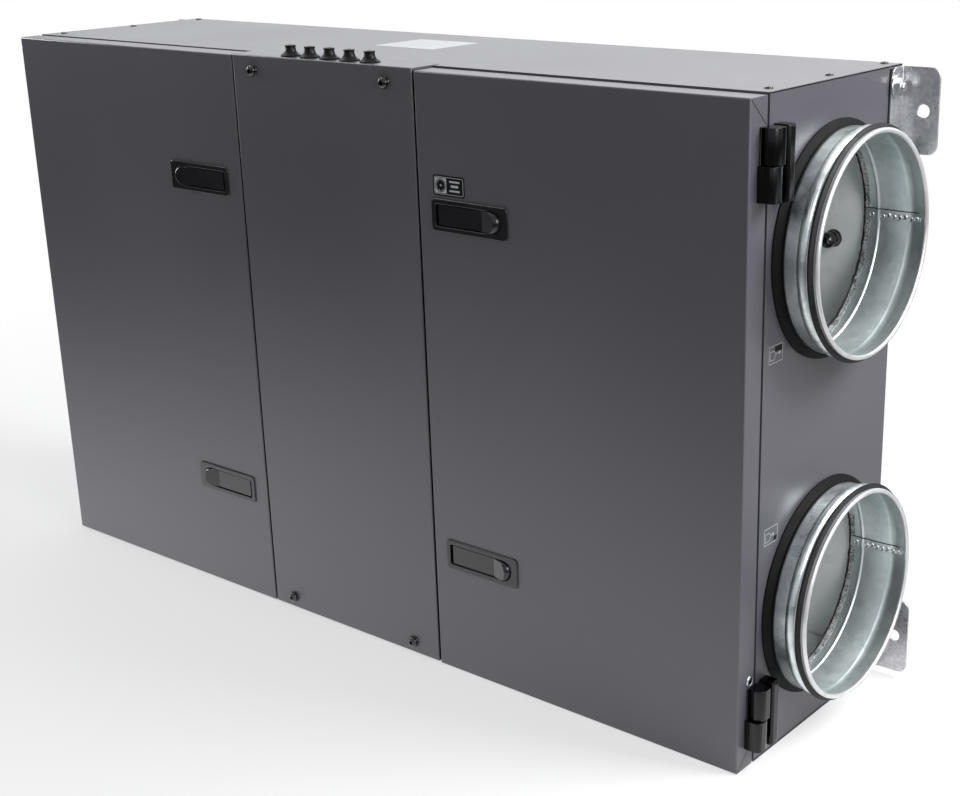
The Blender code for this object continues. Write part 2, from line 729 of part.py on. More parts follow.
def main():
    """Builds the whole unit."""
    clear_scene()
    paint = material("dark_paint", (0.105, 0.108, 0.115), 0.45)
    galvanised = material("galvanised_steel", (0.62, 0.65, 0.66), 0.32, 1.0)
    plastic = material("black_plastic", (0.02, 0.02, 0.022), 0.4)
    rubber = material("black_rubber", (0.025, 0.025, 0.027), 0.7)
    foam = material("black_foam", (0.018, 0.018, 0.018), 0.9)

    add_end_panel("top_panel", True, paint)
    add_end_panel("bottom_panel", False, paint)
    add_core(paint, galvanised)
    add_middle_panel(paint, rubber)
    doors = {"left": (LEFT_DOOR_LOW, LEFT_DOOR_HIGH), "right": (RIGHT_DOOR_LOW, RIGHT_DOOR_HIGH)}
    for word, side in SIDES.items():
        add_side_panel(f"{word}_panel", side, paint)
        add_door(word, side, *doors[word], paint, plastic)
        for level, height in SPIGOT_Z.items():
            add_spigot(f"{word}_{level}_spigot", side, height, galvanised, rubber, foam)
        for level, low in BRACKET_Z.items():
            add_bracket(f"{word}_{level}_bracket", side, low, galvanised)


if __name__ == "__main__":
    main()
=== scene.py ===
"""Finishes, fittings and light for a wall-hung air handling unit."""

import json
import logging
import math
from collections.abc import Iterable, Sequence
from dataclasses import dataclass, field
from enum import Enum

import bmesh
import bpy
from bpy.types import Material, NodeSocket, Object
from mathutils import Matrix, Vector, noise


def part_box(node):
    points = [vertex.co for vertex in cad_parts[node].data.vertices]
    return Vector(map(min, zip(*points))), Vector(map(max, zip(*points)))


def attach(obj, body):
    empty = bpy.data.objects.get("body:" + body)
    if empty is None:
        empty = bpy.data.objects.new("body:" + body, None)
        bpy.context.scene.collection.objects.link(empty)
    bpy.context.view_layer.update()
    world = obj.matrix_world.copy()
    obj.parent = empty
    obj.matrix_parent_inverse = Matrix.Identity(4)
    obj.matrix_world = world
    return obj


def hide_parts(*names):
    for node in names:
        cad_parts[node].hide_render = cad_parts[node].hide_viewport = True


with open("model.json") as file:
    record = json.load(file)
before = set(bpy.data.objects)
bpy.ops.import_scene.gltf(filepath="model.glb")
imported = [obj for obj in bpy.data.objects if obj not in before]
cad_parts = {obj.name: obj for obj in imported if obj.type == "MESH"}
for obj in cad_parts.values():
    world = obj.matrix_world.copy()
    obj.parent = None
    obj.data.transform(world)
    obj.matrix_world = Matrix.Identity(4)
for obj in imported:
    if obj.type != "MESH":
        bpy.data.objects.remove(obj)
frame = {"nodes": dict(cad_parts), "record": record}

log = logging.getLogger("air_handling_unit")

FULL_TURN = 2 * math.pi
STRIP_WIDTH = 0.0026
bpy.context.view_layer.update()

Point = tuple[float, float]
Colour = tuple[float, float, float]
Shape = tuple[Sequence[Point], float]


class Side(Enum):
    """The two ends of the unit, as the sign of X."""

    LEFT = -1
    RIGHT = 1

    @property
    def word(self) -> str:
        """The side's name in the names of the nodes."""
        return self.name.lower()


class Level(Enum):
    """The two heights at which spigots, latches, hinges and brackets repeat."""

    LOWER = "lower"
    UPPER = "upper"


class Slot(Enum):
    """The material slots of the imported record."""

    PAINT = "dark_paint"
    STEEL = "galvanised_steel"
    LINER = "galvanised_liner"
    PLASTIC = "black_plastic"
    RUBBER = "black_rubber"
    FOAM = "black_foam"


# Finishes


class Shader:
    """One material with a Principled surface, and short calls for the nodes that feed it."""

    def __init__(self, name: str) -> None:
        """Starts the material.

        Args:
            name: The material's name.
        """
        self.material = bpy.data.materials.new(name)
        self.material.use_nodes = True
        self.tree = self.material.node_tree
        self.tree.nodes.clear()
        self.surface = self.add("ShaderNodeBsdfPrincipled")
        output = self.add("ShaderNodeOutputMaterial")
        self.join(self.surface.outputs[0], output.inputs["Surface"])
        self.place = self.add("ShaderNodeTexCoord").outputs["Object"]

    def add(self, kind: str, **settings: object) -> bpy.types.Node:
        """Adds a node.

        Args:
            kind: The node's type name.
            settings: Properties to set on it.

        Returns:
            The new node.
        """
        node = self.tree.nodes.new(kind)
        for key, value in settings.items():
            setattr(node, key, value)
        return node

    def join(self, start: NodeSocket, end: NodeSocket) -> None:
        """Links one socket to another."""
        self.tree.links.new(start, end)

    def set(self, **values: object) -> None:
        """Sets sockets of the surface that stay the same all over it.

        Args:
            values: Socket names with underscores for spaces, and their values.
        """
        for key, value in values.items():
            self.surface.inputs[key.replace("_", " ")].default_value = value

    def stretched(self, stretch: Sequence[float]) -> NodeSocket:
        """The place on the piece, scaled apart along X, Y and Z.

        Args:
            stretch: The scale along each axis.

        Returns:
            The socket with the scaled place.
        """
        mapping = self.add("ShaderNodeMapping")
        mapping.inputs["Scale"].default_value = stretch
        self.join(self.place, mapping.inputs["Vector"])
        return mapping.outputs["Vector"]

    def grain(self, scale: float, detail: float = 2.0, place: NodeSocket | None = None) -> NodeSocket:
        """A noise from 0 to 1.

        Args:
            scale: Waves per metre.
            detail: Octaves of finer noise.
            place: Where it is read, if not the plain place on the piece.

        Returns:
            The socket with the noise.
        """
        node = self.add("ShaderNodeTexNoise")
        node.inputs["Scale"].default_value = scale
        node.inputs["Detail"].default_value = detail
        self.join(place or self.place, node.inputs["Vector"])
        return node.outputs["Fac"]

    def cells(self, scale: float, output: str = "Distance") -> NodeSocket:
        """Cells like the spangle of hot-dip zinc.

        Args:
            scale: Cells per metre.
            output: Distance, or Color for one random colour a cell.

        Returns:
            The socket asked for.
        """
        node = self.add("ShaderNodeTexVoronoi")
        node.inputs["Scale"].default_value = scale
        self.join(self.place, node.inputs["Vector"])
        return node.outputs[output]

    def span(
        self, value: NodeSocket, low: float, high: float, start: float = 0.0, end: float = 1.0
    ) -> NodeSocket:
        """Maps a value onto a range, clamped at both ends.

        Args:
            value: The value to map.
            low: The result where the value is at start or under.
            high: The result where the value is at end or over.
            start: The value that gives low.
            end: The value that gives high.

        Returns:
            The socket with the mapped value.
        """
        node = self.add("ShaderNodeMapRange")
        for key, number in (("From Min", start), ("From Max", end), ("To Min", low), ("To Max", high)):
            node.inputs[key].default_value = number
        self.join(value, node.inputs["Value"])
        return node.outputs["Result"]

    def tint(self, factor: NodeSocket, low: Colour, high: Colour) -> NodeSocket:
        """A colour between two, by a factor from 0 to 1.

        Args:
            factor: How far the colour is towards high.
            low: The colour at 0.
            high: The colour at 1.

        Returns:
            The socket with the colour.
        """
        ramp = self.add("ShaderNodeValToRGB")
        ramp.color_ramp.elements[0].color = (*low, 1.0)
        ramp.color_ramp.elements[1].color = (*high, 1.0)
        self.join(factor, ramp.inputs["Fac"])
        return ramp.outputs["Color"]

    def over(self, factor: NodeSocket, under: NodeSocket, top: Colour) -> NodeSocket:
        """A plain colour laid over another.

        Args:
            factor: How much of it covers, from 0 to 1.
            under: The colour beneath.
            top: The colour laid over it.

        Returns:
            The socket with the colour.
        """
        node = self.add("ShaderNodeMix", data_type="RGBA")
        blend, first, second = node.inputs[0], node.inputs[6], node.inputs[7]
        second.default_value = (*top, 1.0)
        self.join(factor, blend)
        self.join(under, first)
        return node.outputs[2]

    def sum(self, first: NodeSocket, second: NodeSocket, share: float = 1.0) -> NodeSocket:
        """The first value plus a share of the second.

        Args:
            first: A value.
            second: The value that is added.
            share: How much of it.

        Returns:
            The socket with the sum.
        """
        node = self.add("ShaderNodeMath", operation="MULTIPLY_ADD")
        node.inputs[1].default_value = share
        self.join(second, node.inputs[0])
        self.join(first, node.inputs[2])
        return node.outputs[0]

    def bump(self, height: NodeSocket, depth: float, strength: float = 1.0) -> None:
        """Gives the surface relief.

        Args:
            height: The relief from 0 to 1.
            depth: Its real height in metres.
            strength: How much of it shows.
        """
        node = self.add("ShaderNodeBump")
        node.inputs["Strength"].default_value = strength
        node.inputs["Distance"].default_value = depth
        self.join(height, node.inputs["Height"])
        self.join(node.outputs["Normal"], self.surface.inputs["Normal"])

    def colour(self, value: NodeSocket) -> None:
        """Feeds the surface's colour."""
        self.join(value, self.surface.inputs["Base Color"])

    def rough(self, value: NodeSocket) -> None:
        """Feeds the surface's roughness."""
        self.join(value, self.surface.inputs["Roughness"])


@dataclass(frozen=True)
class PowderCoat:
    """Fine-texture powder coat: orange peel, slow changes of gloss, and a few specks of dust."""

    name: str = "powder_coat"
    colour: Colour = (0.0845, 0.0805, 0.0965)
    dust: Colour = (0.3, 0.3, 0.31)
    shift: float = 0.05
    roughness: float = 0.36
    peel: float = 700.0
    peel_depth: float = 0.00006
    specks: float = 9.0
    speck_size: float = 0.006

    def build(self) -> Material:
        """Makes the finish.

        Returns:
            The material.
        """
        shader = Shader(self.name)
        drift = shader.grain(3.0, 3.0)
        low = tuple(part * (1 - self.shift) for part in self.colour)
        high = tuple(part * (1 + self.shift) for part in self.colour)
        paint = shader.tint(shader.span(drift, 0, 1, 0.3, 0.7), low, high)
        speck = shader.span(shader.cells(self.specks), 1, 0, self.speck_size * 0.5, self.speck_size)
        shader.colour(shader.over(speck, paint, self.dust))
        peel = shader.grain(self.peel, 2.0)
        gloss = shader.sum(drift, peel, 0.5)
        shader.rough(shader.span(gloss, self.roughness - 0.05, self.roughness + 0.06, 0.4, 1.1))
        shader.bump(peel, self.peel_depth, 0.35)
        shader.set(Specular_IOR_Level=0.5)
        return shader.material


@dataclass(frozen=True)
class GalvanisedSheet:
    """Hot-dip galvanised sheet: zinc spangle, rolling lines and dull smudges."""

    name: str = "galvanised_sheet"
    dull: Colour = (0.42, 0.49, 0.50)
    bright: Colour = (0.76, 0.80, 0.79)
    roughness: Point = (0.22, 0.44)
    spangle: float = 130.0
    lines: Sequence[float] = (1600.0, 12.0, 12.0)
    metallic: float = 1.0

    def build(self) -> Material:
        """Makes the finish.

        Returns:
            The material.
        """
        shader = Shader(self.name)
        cell = shader.cells(self.spangle, output="Color")
        split = shader.add("ShaderNodeSeparateColor")
        shader.join(cell, split.inputs[0])
        patch = shader.grain(22.0, 4.0)
        lines = shader.grain(1.0, 3.0, shader.stretched(self.lines))
        shade = shader.sum(shader.sum(patch, split.outputs[0], 0.35), lines, 0.3)
        shader.colour(shader.tint(shader.span(shade, 0, 1, 0.45, 1.15), self.dull, self.bright))
        low, high = self.roughness
        wear = shader.sum(shader.sum(patch, split.outputs[1], 0.3), lines, 0.25)
        shader.rough(shader.span(wear, low, high, 0.45, 1.0))
        shader.bump(shader.sum(lines, patch, 0.5), 0.00005, 0.35)
        shader.set(Metallic=self.metallic)
        return shader.material


@dataclass(frozen=True)
class MouldedPlastic:
    """Moulded plastic with a fine spark-eroded grain."""

    name: str = "moulded_plastic"
    colour: Colour = (0.0074, 0.007, 0.0094)
    roughness: float = 0.2
    grain: float = 1500.0
    grain_depth: float = 0.00001
    specular: float = 0.5

    def build(self) -> Material:
        """Makes the finish.

        Returns:
            The material.
        """
        shader = Shader(self.name)
        handled = shader.grain(35.0, 3.0)
        high = tuple(part * 1.5 for part in self.colour)
        shader.colour(shader.tint(handled, self.colour, high))
        shader.rough(shader.span(handled, self.roughness - 0.02, self.roughness + 0.04, 0.3, 0.7))
        shader.bump(shader.grain(self.grain, 1.0), self.grain_depth, 0.4)
        shader.set(Specular_IOR_Level=self.specular)
        return shader.material


@dataclass(frozen=True)
class SoftRubber:
    """Matt rubber or foam with a dusty bloom."""

    name: str
    colour: Colour = (0.007, 0.007, 0.0075)
    bloom: Colour = (0.02, 0.02, 0.021)
    roughness: float = 0.55
    pores: float = 900.0
    pore_depth: float = 0.0001
    specular: float = 0.25

    def build(self) -> Material:
        """Makes the finish.

        Returns:
            The material.
        """
        shader = Shader(self.name)
        dust = shader.grain(60.0, 4.0)
        shader.colour(shader.tint(shader.span(dust, 0, 1, 0.35, 0.75), self.colour, self.bloom))
        shader.rough(shader.span(dust, self.roughness - 0.06, self.roughness + 0.12, 0.3, 0.7))
        shader.bump(shader.cells(self.pores), self.pore_depth, 0.5)
        shader.set(Specular_IOR_Level=self.specular)
        return shader.material


@dataclass(frozen=True)
class SealantFilm:
    """Sealant smeared thinly over zinc: pale, with dark specks."""

    name: str = "sealant_film"
    dark: Colour = (0.10, 0.105, 0.11)
    pale: Colour = (0.62, 0.64, 0.65)

    def build(self) -> Material:
        """Makes the finish.

        Returns:
            The material.
        """
        shader = Shader(self.name)
        speck = shader.sum(shader.grain(620.0, 3.0), shader.grain(90.0, 2.0), 0.5)
        shader.colour(shader.tint(shader.span(speck, 0, 1, 0.62, 0.86), self.dark, self.pale))
        shader.rough(shader.span(speck, 0.35, 0.6, 0.5, 1.0))
        shader.bump(speck, 0.0004, 0.6)
        shader.set(Metallic=0.4)
        return shader.material


@dataclass(frozen=True)
class PrintedVinyl:
    """Printed self-adhesive vinyl with a faint grain."""

    name: str
    colour: Colour
    roughness: float = 0.4
    specular: float = 0.4

    def build(self) -> Material:
        """Makes the finish.

        Returns:
            The material.
        """
        shader = Shader(self.name)
        fleck = shader.grain(420.0, 2.0)
        low = tuple(part * 0.93 for part in self.colour)
        shader.colour(shader.tint(fleck, low, self.colour))
        shader.rough(shader.span(fleck, self.roughness - 0.05, self.roughness + 0.05))
        shader.bump(fleck, 0.00002, 0.3)
        shader.set(Specular_IOR_Level=self.specular)
        return shader.material


def made(finish: type, *values: object) -> Material:
    """A field that builds one finish when the set of them is made.

    Args:
        finish: The kind of finish.
        values: Its values, where they aren't the kind's own.

    Returns:
        The dataclass field.
    """
    return field(default_factory=lambda: finish(*values).build())


@dataclass
class Finishes:
    """Every finish of the unit, made once."""

    paint: Material = made(PowderCoat)
    steel: Material = made(GalvanisedSheet)
    # The lining's zinc, made paler than real zinc: partly its own pale colour, partly painted light that
    # stands in for the light that doesn't reach the compartment.
    liner: Material = made(
        GalvanisedSheet, "galvanised_lining", (0.78, 0.82, 0.81), (0.90, 0.92, 0.91),
        (0.45, 0.6), 110.0, (10.0, 10.0, 900.0), 0.12,
    )
    bore: Material = made(
        GalvanisedSheet, "galvanised_bore", (0.50, 0.56, 0.575), (0.68, 0.725, 0.73),
        (0.32, 0.46), 150.0, (1600.0, 12.0, 12.0), 0.8,
    )
    film: Material = made(SealantFilm)
    zinc: Material = made(
        GalvanisedSheet, "zinc_plated_steel", (0.52, 0.54, 0.55), (0.72, 0.74, 0.75),
        (0.22, 0.38), 700.0, (90.0, 90.0, 90.0),
    )
    bracket: Material = made(
        GalvanisedSheet, "plated_bracket_steel", (0.44, 0.44, 0.46), (0.74, 0.74, 0.76),
        (0.2, 0.46), 400.0, (25.0, 25.0, 25.0), 0.9,
    )
    # A paler copy of the tube's zinc for the end past the gasket: painted highlight for the light that the
    # rolled rim catches.
    rim: Material = made(
        GalvanisedSheet, "rolled_rim_steel", (0.62, 0.63, 0.64), (0.80, 0.81, 0.82),
        (0.3, 0.44), 90.0, (1600.0, 12.0, 12.0), 0.75,
    )
    plastic: Material = made(MouldedPlastic)
    hinge: Material = made(
        MouldedPlastic, "hinge_plastic", (0.0012, 0.0012, 0.0015), 0.2, 2200.0, 0.000003, 0.35
    )
    screw_black: Material = made(
        MouldedPlastic, "blackened_steel", (0.003, 0.003, 0.0034), 0.16, 900.0, 0.000004, 0.7
    )
    gland: Material = made(
        MouldedPlastic, "grommet_rubber", (0.0025, 0.0025, 0.003), 0.36, 900.0, 0.00002, 0.16
    )
    rubber: Material = made(SoftRubber, "gasket_rubber")
    foam: Material = made(
        SoftRubber, "collar_foam", (0.002, 0.002, 0.002), (0.005, 0.005, 0.005), 0.62, 1400.0, 0.0001, 0.14
    )
    white: Material = made(PrintedVinyl, "white_vinyl", (0.49, 0.50, 0.52))
    grey: Material = made(PrintedVinyl, "grey_print", (0.46, 0.48, 0.50))
    black: Material = made(PrintedVinyl, "black_vinyl", (0.003, 0.003, 0.0034), 0.45, 0.12)

    def of(self, slot: Slot) -> Material:
        """The finish that stands for a slot of the record.

        Args:
            slot: The slot.

        Returns:
            Its material.
        """
        return {
            Slot.PAINT: self.paint,
            Slot.STEEL: self.steel,
            Slot.LINER: self.liner,
            Slot.PLASTIC: self.plastic,
            Slot.RUBBER: self.rubber,
            Slot.FOAM: self.foam,
        }[slot]


# Shapes


def arc(centre: Point, radius: float, start: float, end: float, steps: int) -> list[Point]:
    """Points along an arc.

    Args:
        centre: The arc's centre.
        radius: Its radius.
        start: The first angle in degrees.
        end: The last angle in degrees.
        steps: How many steps lie between them.

    Returns:
        The points, both ends included.
    """
    turns = [math.radians(start + (end - start) * i / steps) for i in range(steps + 1)]
    return [(centre[0] + radius * math.cos(a), centre[1] + radius * math.sin(a)) for a in turns]


def turned(
    bm: bmesh.types.BMesh,
    profile: Sequence[Point],
    centre: Sequence[float],
    axis: Vector,
    steps: int,
    closed: bool = False,
    angle: float = FULL_TURN,
    start: Vector | None = None,
) -> list[bmesh.types.BMVert]:
    """Spins a profile round an axis.

    Args:
        bm: The mesh that takes the shape.
        profile: Points as (distance along the axis, radius).
        centre: The point of the axis at distance 0.
        axis: The direction of the axis.
        steps: How many steps the spin takes.
        closed: Whether the profile's last point joins its first.
        angle: How far it turns, in radians.
        start: The direction in which the profile starts, square to the axis.

    Returns:
        The shape's vertices.
    """
    centre = Vector(centre)
    out = start or axis.orthogonal().normalized()
    ring = [bm.verts.new(centre + axis * along + out * radius) for along, radius in profile]
    edges = [bm.edges.new((ring[i - 1], ring[i])) for i in range(0 if closed else 1, len(ring))]
    whole = math.isclose(angle, FULL_TURN)
    before = set(bm.verts) - set(ring)
    bmesh.ops.spin(
        bm, geom=ring + edges, cent=centre, axis=axis, angle=angle, steps=steps, use_merge=whole
    )
    made = [vert for vert in bm.verts if vert not in before]
    bmesh.ops.remove_doubles(bm, verts=made, dist=1e-6)
    return [vert for vert in bm.verts if vert not in before]


def block(bm: bmesh.types.BMesh, low: Sequence[float], high: Sequence[float]) -> list[bmesh.types.BMVert]:
    """Adds a box between two corners.

    Args:
        bm: The mesh that takes it.
        low: The lowest corner.
        high: The highest corner.

    Returns:
        Its vertices.
    """
    low, high = Vector(low), Vector(high)
    place = Matrix.Translation((low + high) / 2) @ Matrix.Diagonal((*(high - low), 1.0))
    return bmesh.ops.create_cube(bm, size=1.0, matrix=place)["verts"]


def soft_corners(low: Point, high: Point, radius: float, steps: int = 5) -> list[Point]:
    """The outline of a rectangle with rounded corners.

    Args:
        low: Its lower left corner.
        high: Its upper right corner.
        radius: The radius of its corners.
        steps: Steps in each corner.

    Returns:
        Points round it.
    """
    (x0, y0), (x1, y1) = low, high
    centres = (((x1 - radius, y0 + radius), -90), ((x1 - radius, y1 - radius), 0))
    centres += (((x0 + radius, y1 - radius), 90), ((x0 + radius, y0 + radius), 180))
    return [point for centre, start in centres for point in arc(centre, radius, start, start + 90, steps)]


@dataclass(frozen=True)
class Face:
    """A flat place on the unit, with its own left-to-right and upward directions."""

    origin: Vector
    right: Vector
    up: Vector

    @property
    def out(self) -> Vector:
        """The direction off the face."""
        return self.right.cross(self.up).normalized()

    def raise_outline(
        self, bm: bmesh.types.BMesh, outline: Sequence[Point], low: float, high: float, border: float = 0.0
    ) -> None:
        """Raises a flat outline off the face.

        Args:
            bm: The mesh that takes it.
            outline: Points as (to the right, up).
            low: How far its foot lies off the face.
            high: How far its top lies off the face.
            border: The width of its rim, where only the rim is wanted.
        """
        foot = self.origin + self.out * low
        ring = [bm.verts.new(foot + self.right * u + self.up * v) for u, v in outline]
        faces = [bm.faces.new(ring)]
        faces[0].normal_update()
        if border:
            inset = bmesh.ops.inset_region(
                bm, faces=faces, thickness=border, use_boundary=True, use_even_offset=True
            )
            rim = inset["faces"]
            bmesh.ops.delete(bm, geom=faces, context="FACES_ONLY")
            faces = rim
        raised = bmesh.ops.extrude_face_region(bm, geom=faces, use_keep_orig=True)["geom"]
        verts = [item for item in raised if isinstance(item, bmesh.types.BMVert)]
        bmesh.ops.translate(bm, verts=verts, vec=self.out * (high - low))


def edges_of(verts: Iterable[bmesh.types.BMVert]) -> list[bmesh.types.BMEdge]:
    """The edges that join these vertices."""
    chosen = set(verts)
    return [edge for edge in {e for v in chosen for e in v.link_edges} if set(edge.verts) <= chosen]


def rounded(
    bm: bmesh.types.BMesh, edges: Iterable[bmesh.types.BMEdge], radius: float, segments: int = 2
) -> None:
    """Rounds edges over.

    Args:
        bm: The mesh.
        edges: The edges to round.
        radius: How far the round reaches from each edge.
        segments: How many faces make it.
    """
    bmesh.ops.bevel(
        bm,
        geom=list(edges),
        offset=radius,
        offset_type="OFFSET",
        segments=segments,
        profile=0.5,
        affect="EDGES",
        clamp_overlap=True,
        material=-1,
    )


def broken_edges(bm: bmesh.types.BMesh, radius: float, angle: float = math.radians(35)) -> None:
    """Breaks every sharp edge with a small round, and shades flat faces flat and narrow curved ones smooth.

    Args:
        bm: The mesh.
        radius: How far each round reaches.
        angle: How far the mesh turns at an edge that counts as sharp.
    """
    turns = {edge: edge.calc_face_angle(0.0) for edge in bm.edges if len(edge.link_faces) == 2}
    for face in bm.faces:
        curved = any(math.radians(1) < turns.get(edge, 0.0) for edge in face.edges)
        width = face.calc_area() / max(edge.calc_length() for edge in face.edges)
        face.smooth = curved and width < STRIP_WIDTH
    sharp = [edge for edge, turn in turns.items() if turn > angle]
    rounds = bmesh.ops.bevel(
        bm,
        geom=sharp,
        offset=radius,
        offset_type="OFFSET",
        segments=3,
        profile=0.5,
        affect="EDGES",
        clamp_overlap=True,
        material=-1,
    )
    for face in rounds["faces"]:
        face.smooth = True


def finish_piece(
    name: str,
    bm: bmesh.types.BMesh,
    material: Material,
    body: str,
    stands_for: Sequence[str] = (),
    smooth: float | None = 35.0,
    outward: bool = True,
) -> Object:
    """Turns a mesh into a piece that rides on a body.

    Args:
        name: The piece's name.
        bm: Its mesh, in place.
        material: Its finish.
        body: The body that carries it.
        stands_for: The nodes that it replaces.
        smooth: The angle in degrees over which an edge shows as sharp, or None to keep each face's shading.
        outward: Whether the faces still have to be turned outward.

    Returns:
        The piece.
    """
    if outward:
        bmesh.ops.recalc_face_normals(bm, faces=bm.faces)
    if smooth is not None:
        for face in bm.faces:
            face.smooth = True
        for edge in bm.edges:
            edge.smooth = not (len(edge.link_faces) == 2 and edge.calc_face_angle(0.0) > math.radians(smooth))
    mesh = bpy.data.meshes.new(name)
    bm.to_mesh(mesh)
    bm.free()
    mesh.materials.append(material)
    piece = bpy.data.objects.new(name, mesh)
    bpy.context.scene.collection.objects.link(piece)
    if stands_for:
        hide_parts(*stands_for)
    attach(piece, body)
    return piece


def carve(piece: Object, cutter: bmesh.types.BMesh) -> None:
    """Cuts a shape out of a piece for good.

    Args:
        piece: The piece, which keeps its object.
        cutter: The closed shape that goes, which is used up.
    """
    bmesh.ops.recalc_face_normals(cutter, faces=cutter.faces)
    mesh = bpy.data.meshes.new("cutter")
    cutter.to_mesh(mesh)
    cutter.free()
    tool = bpy.data.objects.new("cutter", mesh)
    bpy.context.scene.collection.objects.link(tool)
    cut = piece.modifiers.new("cut", "BOOLEAN")
    cut.operation = "DIFFERENCE"
    cut.solver = "EXACT"
    cut.object = tool
    graph = bpy.context.evaluated_depsgraph_get()
    shape = bpy.data.meshes.new_from_object(piece.evaluated_get(graph))
    piece.modifiers.remove(cut)
    old, piece.data = piece.data, shape
    shape.name = piece.name
    bpy.data.meshes.remove(old)
    bpy.data.objects.remove(tool)
    bpy.data.meshes.remove(mesh)


def merged_copy(node: str) -> bmesh.types.BMesh:
    """A CAD node's mesh with its loose triangles joined and its flat faces made whole.

    Args:
        node: The node's name.

    Returns:
        The joined mesh.
    """
    bm = bmesh.new()
    bm.from_mesh(frame["nodes"][node].data)
    bmesh.ops.remove_doubles(bm, verts=bm.verts, dist=2e-6)
    bmesh.ops.dissolve_limit(
        bm, angle_limit=math.radians(0.6), verts=bm.verts, edges=bm.edges, delimit={"NORMAL"}
    )
    return bm


# Sub-assemblies


@dataclass
class Cladding:
    """The sheet-metal nodes that keep their own mesh."""

    finishes: Finishes

    def dress(self) -> None:
        """Gives every node the finish of its slot in the record."""
        slots = {part["node"]: Slot(part["material_slot"]) for part in frame["record"]["subparts"]}
        for name, node in frame["nodes"].items():
            for holder in node.material_slots:
                holder.material = self.finishes.of(slots[name])
        log.info("cladding: %d nodes dressed", len(slots))


@dataclass
class Fittings:
    """Doors, latches, hinges and brackets, with their edges broken as folding and moulding leave them."""

    finishes: Finishes
    moulded_r: float = 0.0006
    lever_r: float = 0.0005
    bracket_r: float = 0.0003
    sheet_r: float = 0.0004

    def soften(
        self, node: str, body: str, slot: Slot, radius: float, material: Material | None = None
    ) -> None:
        """Replaces a node by its own shape with broken edges.

        Args:
            node: The node.
            body: The body that carries it.
            slot: The record's slot that it takes its finish from.
            radius: How far each edge is rounded.
            material: Its finish, if not the slot's own.
        """
        bm = merged_copy(node)
        broken_edges(bm, radius)
        finish = material or self.finishes.of(slot)
        finish_piece(f"{node}_shape", bm, finish, body, [node], smooth=None, outward=False)

    def build(self) -> None:
        """Softens the doors, the middle panel and every latch, hinge and bracket."""
        hinge = self.finishes.hinge
        self.soften("middle_panel", "casing", Slot.PAINT, self.sheet_r)
        for side in Side:
            self.soften(f"{side.word}_door", f"{side.word}_door", Slot.PAINT, self.sheet_r)
            door = f"{side.word}_door"
            for level in Level:
                end = f"{side.word}_{level.value}"
                self.soften(f"{end}_latch_tray", door, Slot.PLASTIC, self.moulded_r)
                self.soften(f"{end}_latch_lever", f"{end}_lever", Slot.PLASTIC, self.lever_r)
                for leaf, body in (("door", door), ("casing", "casing")):
                    self.soften(f"{end}_hinge_{leaf}_leaf", body, Slot.PLASTIC, self.moulded_r, hinge)
                self.soften(f"{end}_bracket", "casing", Slot.STEEL, self.bracket_r, self.finishes.bracket)
            log.info("%s fittings softened", side.word)


